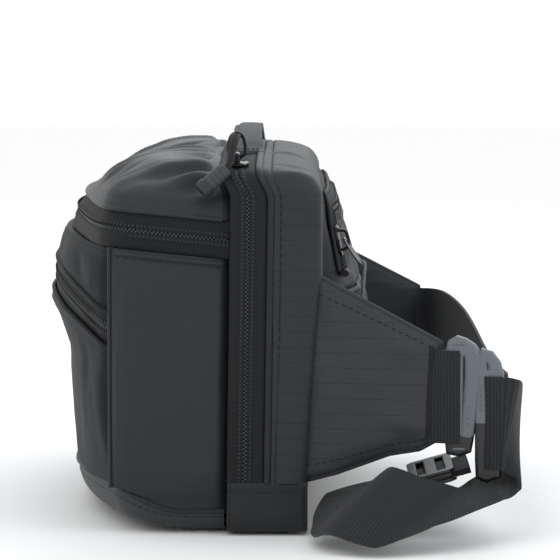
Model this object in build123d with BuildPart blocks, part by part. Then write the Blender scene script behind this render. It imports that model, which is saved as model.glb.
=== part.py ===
"""Waist pack with a domed lid, a clamshell rear compartment, padded wings and a webbing belt.

Frame: +Z up, front of the pack towards -Y, wearer's side towards +Y, width along X.
The near wing and its buckle frame are on the +X side. The pack stands on Z = 0.
"""
from build123d import *
import math
import os

os.makedirs("parts", exist_ok=True)

# Driving dimensions, in millimetres.
HALF_WIDTH = 131.0  # rear compartment, half its width
REAR_FRONT_Y = -14.6  # front edge of the rear zip band
REAR_CHAIN_Y = -7.6  # centre of the rear zip chain
REAR_TAPE_END_Y = 1.0  # rear edge of the rear zip band
BACK_Y = 20.0  # back wall of the rear compartment above the wings
BACK_FOOT_Y = 13.0  # back wall of the rear compartment at its foot
SHOULDER_Z = 156.5  # top of the rear compartment at its two sides
CROWN_Z = 162.5  # top of the rear compartment at the middle
FOOT_Z = 22.0  # height of the corner patches
CORNER_R = 12.0  # top corners of the rear compartment, seen from behind
MAIN_REAR_Y = -15.3  # rear edge of the front compartment
WALL = 3.0  # padded wall
TAPE = 1.2  # zip tape thickness
COIL = 2.2  # zip coil thickness
GAP = 0.3  # clearance between neighbouring pieces
ZIP_SLOPE = 0.1  # rise of the lid zip towards the front, mm per mm
MAIN_ZIP_Z = 119.0  # lower edge of the lid zip band at the rear edge
MAIN_ZIP_BAND = 16.6  # width of the lid zip band
POCKET_SLOPE = 0.6  # rise of the pocket zip towards the front, mm per mm
POCKET_ZIP_Y = -68.5  # where the pocket zip meets the side panels
POCKET_ZIP_Z = 80.0  # lower edge of the pocket zip band there
POCKET_ZIP_BAND = 15.0  # width of the pocket zip band, measured along Z
CHAIN_GAP = 1.6  # gap between two tapes, filled by the coils
WEBBING_WIDTH = 40.0
WEBBING = 2.0  # webbing thickness
WING = 8.0  # padded wing thickness
WING_ROOT = (127.0, 25.6)  # X and Y of the wing's hinge line at WING_TOP_Z
WING_TOP_Z = 112.0
WING_TIP_FLARE = 10.0  # degrees that a wing turns outwards from straight back

# Plan levels of the front compartment: height, half width, corner Y, middle Y.
TUB_LEVELS = [
    (1.8, 110.0, -46.0, -74.0),
    (5.8, 118.0, -54.0, -81.0),
    (15.0, 123.0, -60.0, -86.0),
    (60.0, 123.0, -62.0, -86.0),
    (118.0, 122.0, -61.0, -84.0),
]
BASE_LEVELS = [
    (0.0, 112.0, -48.0, -76.0),
    (4.0, 120.0, -56.0, -83.0),
    (14.0, 125.0, -62.0, -88.0),
]
BAND_LEVELS = [
    (110.0, 125.0, -68.0, -90.0),
    (128.0, 125.0, -67.5, -91.0),
    (150.0, 123.5, -63.0, -79.0),
]
LID_LEVELS = [
    (128.0, 125.0, -67.5, -91.0),
    (148.0, 121.0, -61.0, -79.0),
    (157.0, 106.0, -50.0, -66.0),
    (162.0, 84.0, -42.0, -54.0),
    (164.5, 52.0, -36.0, -42.0),
]
# Front skin of the pocket: height, corner Y, middle Y.
SKIN_LEVELS = [
    (15.0, -66.0, -90.5),
    (40.0, -68.0, -92.0),
    (88.0, -70.0, -101.0),
    (114.0, -69.5, -97.5),
    (134.0, -67.5, -91.0),
]
SKIN = 2.2
SKIN_HALF_WIDTH = 121.5


def compartment_outline(z, half_width, corner_y, middle_y, rear_y, inset=0.0, radius=16.0):
    """Plan outline of the front compartment: straight rear and sides, bowed front."""
    side = half_width - inset
    rear = rear_y - inset
    front = corner_y + inset
    with BuildSketch(Plane.XY.offset(z)) as outline:
        with BuildLine():
            Polyline((side, front), (side, rear), (-side, rear), (-side, front))
            ThreePointArc((-side, front), (0, middle_y + inset), (side, front))
        make_face()
        fillet(outline.vertices().group_by(Axis.Y)[0], radius - inset)
    return outline.sketch


def outlines(levels, rear_y, inset=0.0, lift=0.0):
    """The outlines of a list of levels, each inset and raised by the same amounts."""
    return [compartment_outline(z + lift, w, c, m, rear_y, inset) for z, w, c, m in levels]


def slanted(y, z, slope):
    """A plane through (y, z) that rises towards the front by slope."""
    return Plane(origin=(0, y, z), x_dir=(1, 0, 0), z_dir=(0, slope, 1))


def rear_plane(y):
    """The vertical plane at y, drawn as seen from the front with Z up."""
    return Plane(origin=(0, y, 0), x_dir=(-1, 0, 0), z_dir=(0, 1, 0))


def arch_outline(y, inset=0.0, bottom_z=FOOT_Z):
    """Outline of the rear compartment at y: straight sides and a crowned top."""
    side = HALF_WIDTH - inset
    shoulder = SHOULDER_Z - inset
    with BuildSketch(rear_plane(y)) as outline:
        with BuildLine():
            Polyline((side, shoulder), (side, bottom_z), (-side, bottom_z), (-side, shoulder))
            ThreePointArc((-side, shoulder), (0, CROWN_Z - inset), (side, shoulder))
        make_face()
        fillet(outline.vertices().group_by(Axis.Y)[-1], CORNER_R - inset)
    return outline.sketch


def arch_band(label, y, depth, inset, thickness, bottom_z=FOOT_Z + GAP):
    """A strip that runs up one side of the rear compartment, over the top and down the other."""
    with BuildPart() as band:
        extrude(arch_outline(y, inset, bottom_z), amount=depth)
        extrude(arch_outline(y - 1, inset + thickness, bottom_z - 5), amount=depth + 2, mode=Mode.SUBTRACT)
    save(band, label)


def save(piece, label):
    """Name a finished piece and write it."""
    piece.part.label = label
    export_step(piece.part, f"parts/{label}.step")


def zip_band(label, low, high, inset, thickness):
    """A strip of the lid zip band, round the two sides and the front."""
    with BuildPart() as band:
        loft(sections=outlines(BAND_LEVELS, MAIN_REAR_Y, inset), ruled=True)
        loft(
            sections=outlines(BAND_LEVELS, MAIN_REAR_Y + 10, inset + thickness),
            ruled=True,
            mode=Mode.SUBTRACT,
        )
        split(bisect_by=slanted(MAIN_REAR_Y, MAIN_ZIP_Z + low, ZIP_SLOPE), keep=Keep.TOP)
        split(bisect_by=slanted(MAIN_REAR_Y, MAIN_ZIP_Z + high, ZIP_SLOPE), keep=Keep.BOTTOM)
    save(band, label)


def skin_outline(z, corner_y, middle_y, inset, thickness):
    """Plan section of the front skin: a thin crescent between the two front corners."""
    half = SKIN_HALF_WIDTH
    outer = corner_y + inset
    inner = outer + thickness
    with BuildSketch(Plane.XY.offset(z)) as outline:
        with BuildLine():
            ThreePointArc((-half, outer), (0, middle_y + inset), (half, outer))
            Line((half, outer), (half, inner))
            ThreePointArc((half, inner), (0, middle_y + inset + thickness), (-half, inner))
            Line((-half, inner), (-half, outer))
        make_face()
    return outline.sketch


def skin_band(label, bottom, top, inset=0.0, thickness=SKIN):
    """A horizontal strip of the front skin between two slanted planes."""
    with BuildPart() as band:
        sections = [skin_outline(z, c, m, inset, thickness) for z, c, m in SKIN_LEVELS]
        loft(sections=sections, ruled=True)
        if bottom:
            split(bisect_by=bottom, keep=Keep.TOP)
        split(bisect_by=top, keep=Keep.BOTTOM)
    save(band, label)


def pocket_plane(height):
    """The slanted plane at a height above the lower edge of the pocket zip band."""
    return slanted(POCKET_ZIP_Y, POCKET_ZIP_Z + height, POCKET_SLOPE)


# Front compartment: padded tub, centre panel, base and side panels.
TUB_REAR_Y = MAIN_REAR_Y - WALL
with BuildPart() as main_tub:
    loft(sections=outlines(TUB_LEVELS, TUB_REAR_Y), ruled=True)
    loft(sections=outlines(TUB_LEVELS, TUB_REAR_Y, WALL, WALL), ruled=True, mode=Mode.SUBTRACT)
save(main_tub, "main_tub")

with BuildPart() as centre_panel:
    extrude(arch_outline(TUB_REAR_Y + GAP, 9.5, 15.0), amount=WALL - GAP)
save(centre_panel, "centre_panel")

BASE_SKIN = 1.4
with BuildPart() as base_panel:
    loft(sections=outlines(BASE_LEVELS, TUB_REAR_Y + BASE_SKIN + GAP), ruled=True)
    loft(
        sections=outlines(BASE_LEVELS, TUB_REAR_Y + BASE_SKIN + GAP, BASE_SKIN, BASE_SKIN),
        ruled=True,
        mode=Mode.SUBTRACT,
    )
save(base_panel, "base_panel")

SIDE_PANEL_X = (123.4, 130.6)
SIDE_PANEL_Y = (-65.0, MAIN_REAR_Y)
SIDE_PANEL_Z = (15.0, 117.6)
SIDE_PANEL_R = 3.0
for side, name in ((1, "near"), (-1, "far")):
    with BuildPart(
        Plane(
            origin=(
                side * sum(SIDE_PANEL_X) / 2,
                sum(SIDE_PANEL_Y) / 2,
                sum(SIDE_PANEL_Z) / 2,
            )
        )
    ) as side_panel:
        Box(
            SIDE_PANEL_X[1] - SIDE_PANEL_X[0],
            SIDE_PANEL_Y[1] - SIDE_PANEL_Y[0],
            SIDE_PANEL_Z[1] - SIDE_PANEL_Z[0],
        )
        outer_face = side_panel.faces().sort_by(Axis.X)[-1 if side > 0 else 0]
        fillet(outer_face.edges(), SIDE_PANEL_R)
    save(side_panel, f"side_panel_{name}")

# Front pocket, its zip and the yoke between the two zips.
POCKET_CHAIN = POCKET_ZIP_BAND / 2
skin_band("front_pocket_panel", None, pocket_plane(-GAP))
skin_band("front_zip_lower_tape", pocket_plane(0), pocket_plane(POCKET_CHAIN - CHAIN_GAP / 2), 0.2, TAPE)
skin_band(
    "front_zip_coil",
    pocket_plane(POCKET_CHAIN - CHAIN_GAP / 2 + 0.1),
    pocket_plane(POCKET_CHAIN + CHAIN_GAP / 2 - 0.1),
    0.0,
    COIL,
)
skin_band(
    "front_zip_upper_tape",
    pocket_plane(POCKET_CHAIN + CHAIN_GAP / 2),
    pocket_plane(POCKET_ZIP_BAND),
    0.2,
    TAPE,
)
skin_band(
    "front_yoke",
    pocket_plane(POCKET_ZIP_BAND + GAP),
    slanted(MAIN_REAR_Y, MAIN_ZIP_Z - GAP, ZIP_SLOPE),
)

# Lid zip: the lower half stays with the tub, the upper half moves with the lid.
MAIN_CHAIN = MAIN_ZIP_BAND / 2
zip_band("main_zip_lower_tape", 0.0, MAIN_CHAIN - CHAIN_GAP / 2, 0.0, TAPE)
zip_band("main_zip_lower_coil", MAIN_CHAIN - CHAIN_GAP / 2 + 0.1, MAIN_CHAIN - 0.15, 0.1, COIL)
zip_band("main_zip_upper_coil", MAIN_CHAIN + 0.15, MAIN_CHAIN + CHAIN_GAP / 2 - 0.1, 0.1, COIL)
zip_band("main_zip_upper_tape", MAIN_CHAIN + CHAIN_GAP / 2, MAIN_ZIP_BAND, 0.0, TAPE)

LID_SKIN = 2.4
with BuildPart() as lid_panel:
    loft(sections=outlines(LID_LEVELS, TUB_REAR_Y), ruled=True)
    loft(
        sections=outlines(LID_LEVELS, TUB_REAR_Y + 10, LID_SKIN, -LID_SKIN),
        ruled=True,
        mode=Mode.SUBTRACT,
    )
    split(bisect_by=slanted(MAIN_REAR_Y, MAIN_ZIP_Z + MAIN_ZIP_BAND + GAP, ZIP_SLOPE), keep=Keep.TOP)
save(lid_panel, "lid_panel")

# Rear zip, in two halves, and the foot of the rear compartment.
arch_band("rear_zip_front_tape", REAR_FRONT_Y, REAR_CHAIN_Y - CHAIN_GAP / 2 - REAR_FRONT_Y, 0.0, TAPE)
arch_band("rear_zip_front_coil", REAR_CHAIN_Y - CHAIN_GAP / 2 + 0.1, CHAIN_GAP / 2 - 0.25, 0.1, COIL)
arch_band("rear_zip_rear_coil", REAR_CHAIN_Y + 0.15, CHAIN_GAP / 2 - 0.25, 0.1, COIL)
arch_band(
    "rear_zip_rear_tape",
    REAR_CHAIN_Y + CHAIN_GAP / 2,
    REAR_TAPE_END_Y - REAR_CHAIN_Y - CHAIN_GAP / 2,
    0.0,
    TAPE,
)
PIPING = 2.0
arch_band("rear_piping", REAR_TAPE_END_Y + 0.1, PIPING, -0.8, PIPING)

PATCH_REAR_Y = 17.6
PATCH_HALF = 45.0  # how far a corner patch runs in under the base
PATCH_SKIN = 2.0
for side, name in ((1, "near"), (-1, "far")):
    with BuildPart() as corner_patch:
        with BuildSketch(Plane.XZ.offset(-PATCH_REAR_Y)) as section:
            with Locations((side * HALF_WIDTH, 0)):
                Rectangle(
                    PATCH_HALF,
                    FOOT_Z - GAP,
                    align=(Align.MAX if side > 0 else Align.MIN, Align.MIN),
                )
            outer_corner = section.vertices().group_by(Axis.X)[-1 if side > 0 else 0].sort_by(Axis.Y)[0]
            fillet(outer_corner, 5.0)
            with Locations((side * (HALF_WIDTH - PATCH_SKIN), PATCH_SKIN)):
                Rectangle(
                    PATCH_HALF,
                    FOOT_Z,
                    align=(Align.MAX if side > 0 else Align.MIN, Align.MIN),
                    mode=Mode.SUBTRACT,
                )
        extrude(amount=PATCH_REAR_Y - REAR_FRONT_Y)
    save(corner_patch, f"corner_patch_{name}")

with BuildPart() as rear_base_panel:
    with BuildSketch(Plane.YZ) as section:
        with Locations((REAR_FRONT_Y + 0.5, PATCH_SKIN + GAP)):
            Rectangle(PATCH_REAR_Y - 1 - REAR_FRONT_Y, FOOT_Z - 4.5, align=(Align.MIN, Align.MIN))
        with Locations((REAR_FRONT_Y + 3, PATCH_SKIN + GAP + 2.5)):
            Rectangle(PATCH_REAR_Y - 6 - REAR_FRONT_Y, FOOT_Z, align=(Align.MIN, Align.MIN), mode=Mode.SUBTRACT)
    extrude(amount=HALF_WIDTH - PATCH_SKIN - 4, both=True)
    with BuildSketch(Plane.XY) as sole:
        with Locations((0, (REAR_FRONT_Y + PATCH_REAR_Y) / 2)):
            Rectangle(2 * (HALF_WIDTH - PATCH_HALF - GAP), PATCH_REAR_Y - 1 - REAR_FRONT_Y)
    extrude(amount=PATCH_SKIN + GAP + 1)
save(rear_base_panel, "rear_base_panel")

# Rear compartment: a shallow box, open towards the zip, with a back that tapers to its foot.
def back_wedge(inset):
    """The space behind the tapering back, cut away below the wings' top edges."""
    with BuildPart() as wedge:
        with BuildSketch(Plane.YZ) as section:
            with BuildLine():
                Polyline(
                    (BACK_Y - inset, WING_TOP_Z),
                    (BACK_Y + 10, WING_TOP_Z),
                    (BACK_Y + 10, 0),
                    (BACK_FOOT_Y - inset, FOOT_Z),
                    close=True,
                )
            make_face()
        extrude(amount=HALF_WIDTH + 5, both=True)
    return wedge.part


SHELL = 2.5
SHELL_Y = REAR_TAPE_END_Y + 0.3 + PIPING
with BuildPart() as rear_hollow:
    extrude(arch_outline(SHELL_Y - 1, SHELL, FOOT_Z + GAP + SHELL), amount=BACK_Y - SHELL - SHELL_Y + 1)
    add(back_wedge(SHELL), mode=Mode.SUBTRACT)

with BuildPart() as rear_shell:
    extrude(arch_outline(SHELL_Y, 0.0, FOOT_Z + GAP), amount=BACK_Y - SHELL_Y)
    add(back_wedge(0), mode=Mode.SUBTRACT)
    add(rear_hollow.part, mode=Mode.SUBTRACT)
save(rear_shell, "rear_shell")

# Padded back: outline points behind the back wall at the middle, as height and depth.
PAD_BACK = [(24.5, 20.0), (30.0, 36.0), (60.0, 49.0), (92.0, 46.0), (118.0, 35.5), (146.0, 25.5), (151.0, 21.5)]
PAD_STATIONS = [(-116.0, 0.45), (-62.0, 0.95), (0.0, 1.0), (62.0, 0.95), (116.0, 0.45)]
PAD_SPLIT_Z = 101.0
BACK_ZIP_HALF = (91.0, 105.0)  # inner and outer half width of the back pocket's zip band
BACK_ZIP_Z = (112.0, 146.0)  # foot and top of that band


def wall_y(z):
    """Depth of the back wall at a height."""
    if z >= WING_TOP_Z:
        return BACK_Y
    return BACK_FOOT_Y + (BACK_Y - BACK_FOOT_Y) * (z - FOOT_Z) / (WING_TOP_Z - FOOT_Z)


def pad_outline(x, fullness, proud=0.0, front=GAP):
    """Section of the padded back at a station across the pack."""
    with BuildSketch(Plane(origin=(x, 0, 0), x_dir=(0, 1, 0), z_dir=(1, 0, 0))) as outline:
        with BuildLine():
            back = []
            for z, y in PAD_BACK:
                wall = wall_y(z) + GAP
                back.append((wall + 1.5 + (y - wall - 1.5) * fullness + proud, z))
            Polyline(
                (wall_y(PAD_BACK[0][0]) + front, PAD_BACK[0][0]),
                *back,
                (BACK_Y + front, PAD_BACK[-1][0]),
                (BACK_Y + front, WING_TOP_Z),
                close=True,
            )
        make_face()
    return outline.sketch


def pad_volume(proud=0.0, front=GAP):
    """The whole padded back, or the same with a proud rear face."""
    with BuildPart() as volume:
        loft(sections=[pad_outline(x, f, proud, front) for x, f in PAD_STATIONS], ruled=True)
    return volume.part


with BuildPart() as lumbar_pad:
    add(pad_volume())
    split(bisect_by=Plane.XY.offset(PAD_SPLIT_Z - 0.2), keep=Keep.BOTTOM)
save(lumbar_pad, "lumbar_pad")

with BuildPart() as back_panel:
    add(pad_volume())
    split(bisect_by=Plane.XY.offset(PAD_SPLIT_Z + 0.2), keep=Keep.TOP)
save(back_panel, "back_panel")

with BuildPart() as back_zip_tape:
    add(pad_volume(proud=1.4))
    add(pad_volume(proud=0.2, front=-5.0), mode=Mode.SUBTRACT)
    with BuildSketch(rear_plane(0)):
        with Locations((0, BACK_ZIP_Z[0])):
            Rectangle(2 * BACK_ZIP_HALF[1], BACK_ZIP_Z[1] - BACK_ZIP_Z[0], align=(Align.CENTER, Align.MIN))
            Rectangle(
                2 * BACK_ZIP_HALF[0],
                BACK_ZIP_Z[1] - BACK_ZIP_Z[0] - 9.0,
                align=(Align.CENTER, Align.MIN),
                mode=Mode.SUBTRACT,
            )
    extrude(amount=80, mode=Mode.INTERSECT)
save(back_zip_tape, "back_zip_tape")

# Grab handle: a webbing arch sewn to the front half of the rear zip band.
HANDLE_HALF = 50.0
HANDLE_TAB = 12.0
HANDLE_WIDTH = 11.0
HANDLE_Y = -13.6
HANDLE_TOP_Z = 171.5
HANDLE_FOOT_Z = 162.2
with BuildPart() as grab_handle:
    with BuildSketch(rear_plane(HANDLE_Y)):
        with BuildLine():
            under = [(HANDLE_HALF, HANDLE_FOOT_Z), (HANDLE_HALF + HANDLE_TAB, HANDLE_FOOT_Z - 0.3)]
            over = [(x, z + WEBBING) for x, z in under]
            ThreePointArc((-HANDLE_HALF, HANDLE_FOOT_Z), (0, HANDLE_TOP_Z), under[0])
            Polyline(under[0], under[1], over[1], over[0])
            ThreePointArc(over[0], (0, HANDLE_TOP_Z + WEBBING), (-HANDLE_HALF, over[0][1]))
            Polyline(*[(-x, z) for x, z in (over[0], over[1], under[1], under[0])])
        make_face()
    extrude(amount=HANDLE_WIDTH)
save(grab_handle, "grab_handle")

# Wings, drawn in each wing's own upright plane: distance from the hinge line, and height.
WING_OUTLINE = [(-4, 112), (50, 84), (48, 42), (41, 38), (28, 35.7), (5, 27), (-11, 22.5)]
LOOP_BAR = 56.0  # distance from the hinge line to the bar in the webbing loop
ADJUSTER_BAR = 73.5  # distance to the bar that the belt webbing wraps
BAR_R = 2.0
LOOP_R = BAR_R + GAP  # inner radius of webbing round a bar
LOOP_Z = 41.0  # lower edge of the webbing at the near wing's tip
WRAP_Z = 30.3  # lower edge of the webbing at the adjuster bar
FLARE = math.radians(WING_TIP_FLARE)


def wing_point(side, along, outward, z):
    """A point given by its distance from the hinge line, its offset outwards and its height."""
    return (
        side * (WING_ROOT[0] + along * math.sin(FLARE) + outward * math.cos(FLARE)),
        WING_ROOT[1] + along * math.cos(FLARE) - outward * math.sin(FLARE),
        z,
    )


def wing_plane(side, outward=0.0):
    """Upright plane of a wing: X runs from the hinge line to the tip, Y is up."""
    return Plane(
        origin=wing_point(side, 0, outward, 0),
        x_dir=(side * math.sin(FLARE), math.cos(FLARE), 0),
        z_dir=(math.cos(FLARE), -side * math.sin(FLARE), 0),
    )


def level_plane(z):
    """Level plane at the near wing: X runs from the hinge line to the tip, Y is inwards."""
    return Plane(origin=wing_point(1, 0, 0, z), x_dir=(math.sin(FLARE), math.cos(FLARE), 0), z_dir=(0, 0, 1))


for side, name in ((1, "near"), (-1, "far")):
    with BuildPart() as wing_pad:
        with BuildSketch(wing_plane(side)):
            with BuildLine():
                Polyline(*WING_OUTLINE, close=True)
            make_face()
        extrude(amount=WING / 2, both=True)
        root_edges = wing_pad.edges().filter_by(lambda e: e.length > 60 and e.center().Y < WING_ROOT[1] - 2)
        fillet(root_edges, WING / 2 - 0.2)
    save(wing_pad, f"{name}_wing_pad")


def bar_loop(label, bar, leg_end, z):
    """Webbing round an upright bar: a half ring with two legs that end at leg_end."""
    outer = LOOP_R + WEBBING
    leg_side = Align.MIN if leg_end > bar else Align.MAX
    with BuildPart() as loop:
        with BuildSketch(level_plane(z)):
            with Locations((bar, 0)):
                Circle(outer)
                Circle(LOOP_R, mode=Mode.SUBTRACT)
                Rectangle(2 * outer, 3 * outer, align=(leg_side, Align.CENTER), mode=Mode.SUBTRACT)
            with Locations((bar, outer - WEBBING / 2), (bar, WEBBING / 2 - outer)):
                Rectangle(abs(leg_end - bar), WEBBING, align=(leg_side, Align.CENTER))
        extrude(amount=WEBBING_WIDTH)
    save(loop, label)


WRAP_END = ADJUSTER_BAR + 2.0
bar_loop("near_wing_loop", LOOP_BAR, 50.3, LOOP_Z)
bar_loop("belt_wrap", ADJUSTER_BAR, WRAP_END, WRAP_Z)

# Buckle: the frame on the near wing, and the strap half that hooks behind its bridge.
FRAME_Z = (37.0, 85.5)
FRAME_ALONG = (53.8, 66.0)
FRAME_WINDOW = (LOOP_BAR - 2.5, 61.4)
PLATE = 5.0  # buckle plate thickness
with BuildPart() as buckle_frame:
    with BuildSketch(wing_plane(1)):
        with Locations(((FRAME_ALONG[0] + FRAME_ALONG[1]) / 2, sum(FRAME_Z) / 2)):
            RectangleRounded(FRAME_ALONG[1] - FRAME_ALONG[0], FRAME_Z[1] - FRAME_Z[0], 3.5)
        with Locations((FRAME_WINDOW[1], LOOP_Z + WEBBING_WIDTH / 2)):
            Rectangle(20, WEBBING_WIDTH + 0.8, align=(Align.MAX, Align.CENTER), mode=Mode.SUBTRACT)
    extrude(amount=PLATE / 2, both=True)
    with BuildSketch(level_plane(LOOP_Z - 1.5)):
        with Locations((LOOP_BAR, 0)):
            Circle(BAR_R)
    extrude(amount=WEBBING_WIDTH + 3)
save(buckle_frame, "buckle_frame")

HOOK_ALONG = (66.5, 76.0)
HOOK_Z = (26.0, 80.0)
TONGUE_ALONG = 60.5
TONGUE_Z = (52.0, 70.0)
with BuildPart() as buckle_hook:
    with BuildSketch(wing_plane(1)):
        with Locations((sum(HOOK_ALONG) / 2, sum(HOOK_Z) / 2)):
            RectangleRounded(HOOK_ALONG[1] - HOOK_ALONG[0], HOOK_Z[1] - HOOK_Z[0], 3.5)
        with Locations((68.8, WRAP_Z + WEBBING_WIDTH / 2)):
            Rectangle(20, WEBBING_WIDTH + 0.8, align=(Align.MIN, Align.CENTER), mode=Mode.SUBTRACT)
    extrude(amount=PLATE / 2, both=True)
    with BuildSketch(level_plane(WRAP_Z - 1.5)):
        with Locations((ADJUSTER_BAR, 0)):
            Circle(BAR_R)
    extrude(amount=WEBBING_WIDTH + 3)
    with BuildSketch(level_plane(TONGUE_Z[0])):
        with BuildLine():
            Polyline(
                (TONGUE_ALONG, PLATE / 2 + GAP),
                (HOOK_ALONG[0], PLATE / 2 + GAP),
                (HOOK_ALONG[0], 0),
                (HOOK_ALONG[0] + 2.2, 0),
                (HOOK_ALONG[0] + 2.2, PLATE / 2 + 2.2),
                (TONGUE_ALONG, PLATE / 2 + 2.2),
                close=True,
            )
        make_face()
    extrude(amount=TONGUE_Z[1] - TONGUE_Z[0])
save(buckle_hook, "buckle_hook")

# Belt webbing from the far wing's tip, round behind the wearer, to the adjuster bar.
STRAP_OFFSET = LOOP_R + WEBBING / 2
BELT_START = wing_point(1, WRAP_END + 0.2, -STRAP_OFFSET, 0)
BELT_END = wing_point(-1, 50.3, 0, 0)
BELT_ROUTE = [
    BELT_START[:2],
    (137.9, 104.8),
    (121.0, 102.4),
    (74.0, 98.6),
    (8.0, 97.4),
    (-58.0, 95.4),
    (-108.0, 90.8),
    (-137.0, 84.4),
    BELT_END[:2],
]
BELT_TILT = 0.047  # rise of the belt webbing towards the far side, mm per mm


def route_radii(points):
    """The largest arc at each corner that 0.45 of its shorter run allows."""
    radii = []
    for before, corner, after in zip(points, points[1:], points[2:]):
        first = Vector(*corner) - Vector(*before)
        second = Vector(*after) - Vector(*corner)
        turn = math.radians(first.get_angle(second))
        radii.append(0.45 * min(first.length, second.length) / math.tan(turn / 2))
    return radii


print("belt radii", [round(r, 1) for r in route_radii(BELT_ROUTE)])
belt_bottom = Plane(origin=(BELT_START[0], 0, WRAP_Z), z_dir=(BELT_TILT, 0, 1))
belt_top = Plane(origin=(BELT_START[0], 0, WRAP_Z + WEBBING_WIDTH), z_dir=(BELT_TILT, 0, 1))
with BuildPart() as belt_strap:
    with BuildSketch(Plane.XY.offset(WRAP_Z - 5)):
        with BuildLine() as belt_line:
            FilletPolyline(*BELT_ROUTE, radius=route_radii(BELT_ROUTE))
        trace(belt_line.line, line_width=WEBBING)
    extrude(amount=WEBBING_WIDTH + 30)
    split(bisect_by=belt_bottom, keep=Keep.TOP)
    split(bisect_by=belt_top, keep=Keep.BOTTOM)
save(belt_strap, "belt_strap")
print("belt length", round(sum(edge.length for edge in belt_line.edges()), 1))

# Free tail of the belt: points along its middle, and the direction of its width at each.
TAIL_ROUTE = [
    (wing_point(1, WRAP_END + 0.2, STRAP_OFFSET, WRAP_Z + WEBBING_WIDTH / 2), (0, 0, 1)),
    ((144.4, 103.6, 50.1), (0, 0.17, 0.99)),
    ((134.5, 108.8, 45.0), (-0.5, 0.05, 0.85)),
    ((127.0, 107.8, 30.0), (-0.94, -0.04, 0.34)),
    ((131.0, 100.0, 23.0), (-0.98, -0.13, 0.15)),
    ((145.5, 89.0, 20.5), (-0.99, 0, 0.16)),
    ((159.5, 78.2, 17.5), (-0.93, 0.28, 0.24)),
    ((171.0, 66.8, 16.8), (-0.75, 0.45, 0.48)),
    ((178.0, 56.7, 16.8), (-0.57, 0.5, 0.66)),
    ((176.5, 46.9, 20.0), (-0.45, 0.59, 0.67)),
    ((169.5, 38.2, 22.0), (-0.36, 0.67, 0.64)),
    ((155.0, 34.5, 16.0), (-0.1, 0.75, 0.6)),
    ((139.0, 39.0, 13.0), (0.2, 0.7, 0.5)),
    ((122.0, 46.0, 14.0), (0.8, 0.3, 0.35)),
    ((114.0, 56.0, 20.56), (1, 0, 0)),
    ((114.0, 88.0, 29.56), (1, 0, 0)),
]


def tail_section(index):
    """Cross-section of the tail at one of its points, square to its width and its run."""
    points = [Vector(*point) for point, _ in TAIL_ROUTE]
    width = Vector(*TAIL_ROUTE[index][1]).normalized()
    run = points[min(index + 1, len(points) - 1)] - points[max(index - 1, 0)]
    run = (run - width * run.dot(width)).normalized()
    with BuildSketch(Plane(origin=points[index], x_dir=width, z_dir=run)) as section:
        Rectangle(WEBBING_WIDTH, WEBBING)
    return section.sketch


TAIL_SPLIT = 10
for label, first, last in (("belt_tail", 0, TAIL_SPLIT), ("belt_tail_return", TAIL_SPLIT, len(TAIL_ROUTE) - 1)):
    with BuildPart() as tail:
        for index in range(first, last):
            loft(sections=[tail_section(index), tail_section(index + 1)], ruled=True)
    save(tail, label)

# Tri-glide that keeps the end of the tail.
GLIDE_CENTRE = Vector(114.0, 72.0, 25.06)
GLIDE_RUN = Vector(0, 32, 9).normalized()
GLIDE = (50.0, 19.0, 5.4)
glide_plane = Plane(origin=GLIDE_CENTRE, x_dir=(1, 0, 0), z_dir=GLIDE_RUN)
with BuildPart() as tri_glide:
    with BuildSketch(glide_plane.offset(-GLIDE[1] / 2)):
        RectangleRounded(GLIDE[0], GLIDE[2], 1.6)
        Rectangle(WEBBING_WIDTH + 1.0, WEBBING + 0.8, mode=Mode.SUBTRACT)
    extrude(amount=GLIDE[1])
save(tri_glide, "tri_glide")

# Zip sliders and their pulls. Each slider's plane: X along its travel, Z out of the fabric.
SLIDER = (13.0, 9.4, 1.9)  # length, width and plate thickness
SLIDER_LIFT = 0.5  # clearance over the coils
BRIDGE = (8.0, 2.8, 3.4)
HOLE_UP = SLIDER_LIFT + SLIDER[2] + 1.5  # height of the pull's hole over the coils
WIRE = 1.3


def slider(label, plane):
    """A slider's top plate with the bridge that holds its pull."""
    with BuildPart() as body:
        with BuildSketch(plane.offset(SLIDER_LIFT)):
            RectangleRounded(SLIDER[0], SLIDER[1], 3.0)
        extrude(amount=SLIDER[2])
        with BuildSketch(plane.offset(SLIDER_LIFT + SLIDER[2])):
            RectangleRounded(BRIDGE[0], BRIDGE[1], 1.2)
        extrude(amount=BRIDGE[2])
        hole_plane = Plane(origin=plane.offset(HOLE_UP).origin, x_dir=plane.x_dir, z_dir=plane.y_dir)
        with BuildSketch(hole_plane):
            Circle(1.05)
        extrude(amount=BRIDGE[1], both=True, mode=Mode.SUBTRACT)
    save(body, label)
    return hole_plane.origin


def bail(label, plane, width, length):
    """A wire ring whose near bar lies on the plane's X axis and whose body runs along its Y axis."""
    with BuildPart() as ring:
        with BuildSketch(plane):
            with Locations((0, length / 2 - WIRE / 2)):
                RectangleRounded(width, length, 2.0)
                RectangleRounded(width - 2 * WIRE, length - 2 * WIRE, 0.9, mode=Mode.SUBTRACT)
        extrude(amount=WIRE / 2, both=True)
    save(ring, label)


def pull(label, plane, size, radius=2.4):
    """A moulded pull: a rounded bar that runs along the plane's Y axis from its origin."""
    with BuildPart() as body:
        with BuildSketch(plane):
            with Locations((0, size[1] / 2)):
                RectangleRounded(size[0], abs(size[1]), radius)
        extrude(amount=size[2] / 2, both=True)
    save(body, label)


BAIL = (9.6, 12.0)
BAIL_REACH = BAIL[1] - 1.6 * WIRE

PULL = (8.6, 15.5, 4.0)


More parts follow.
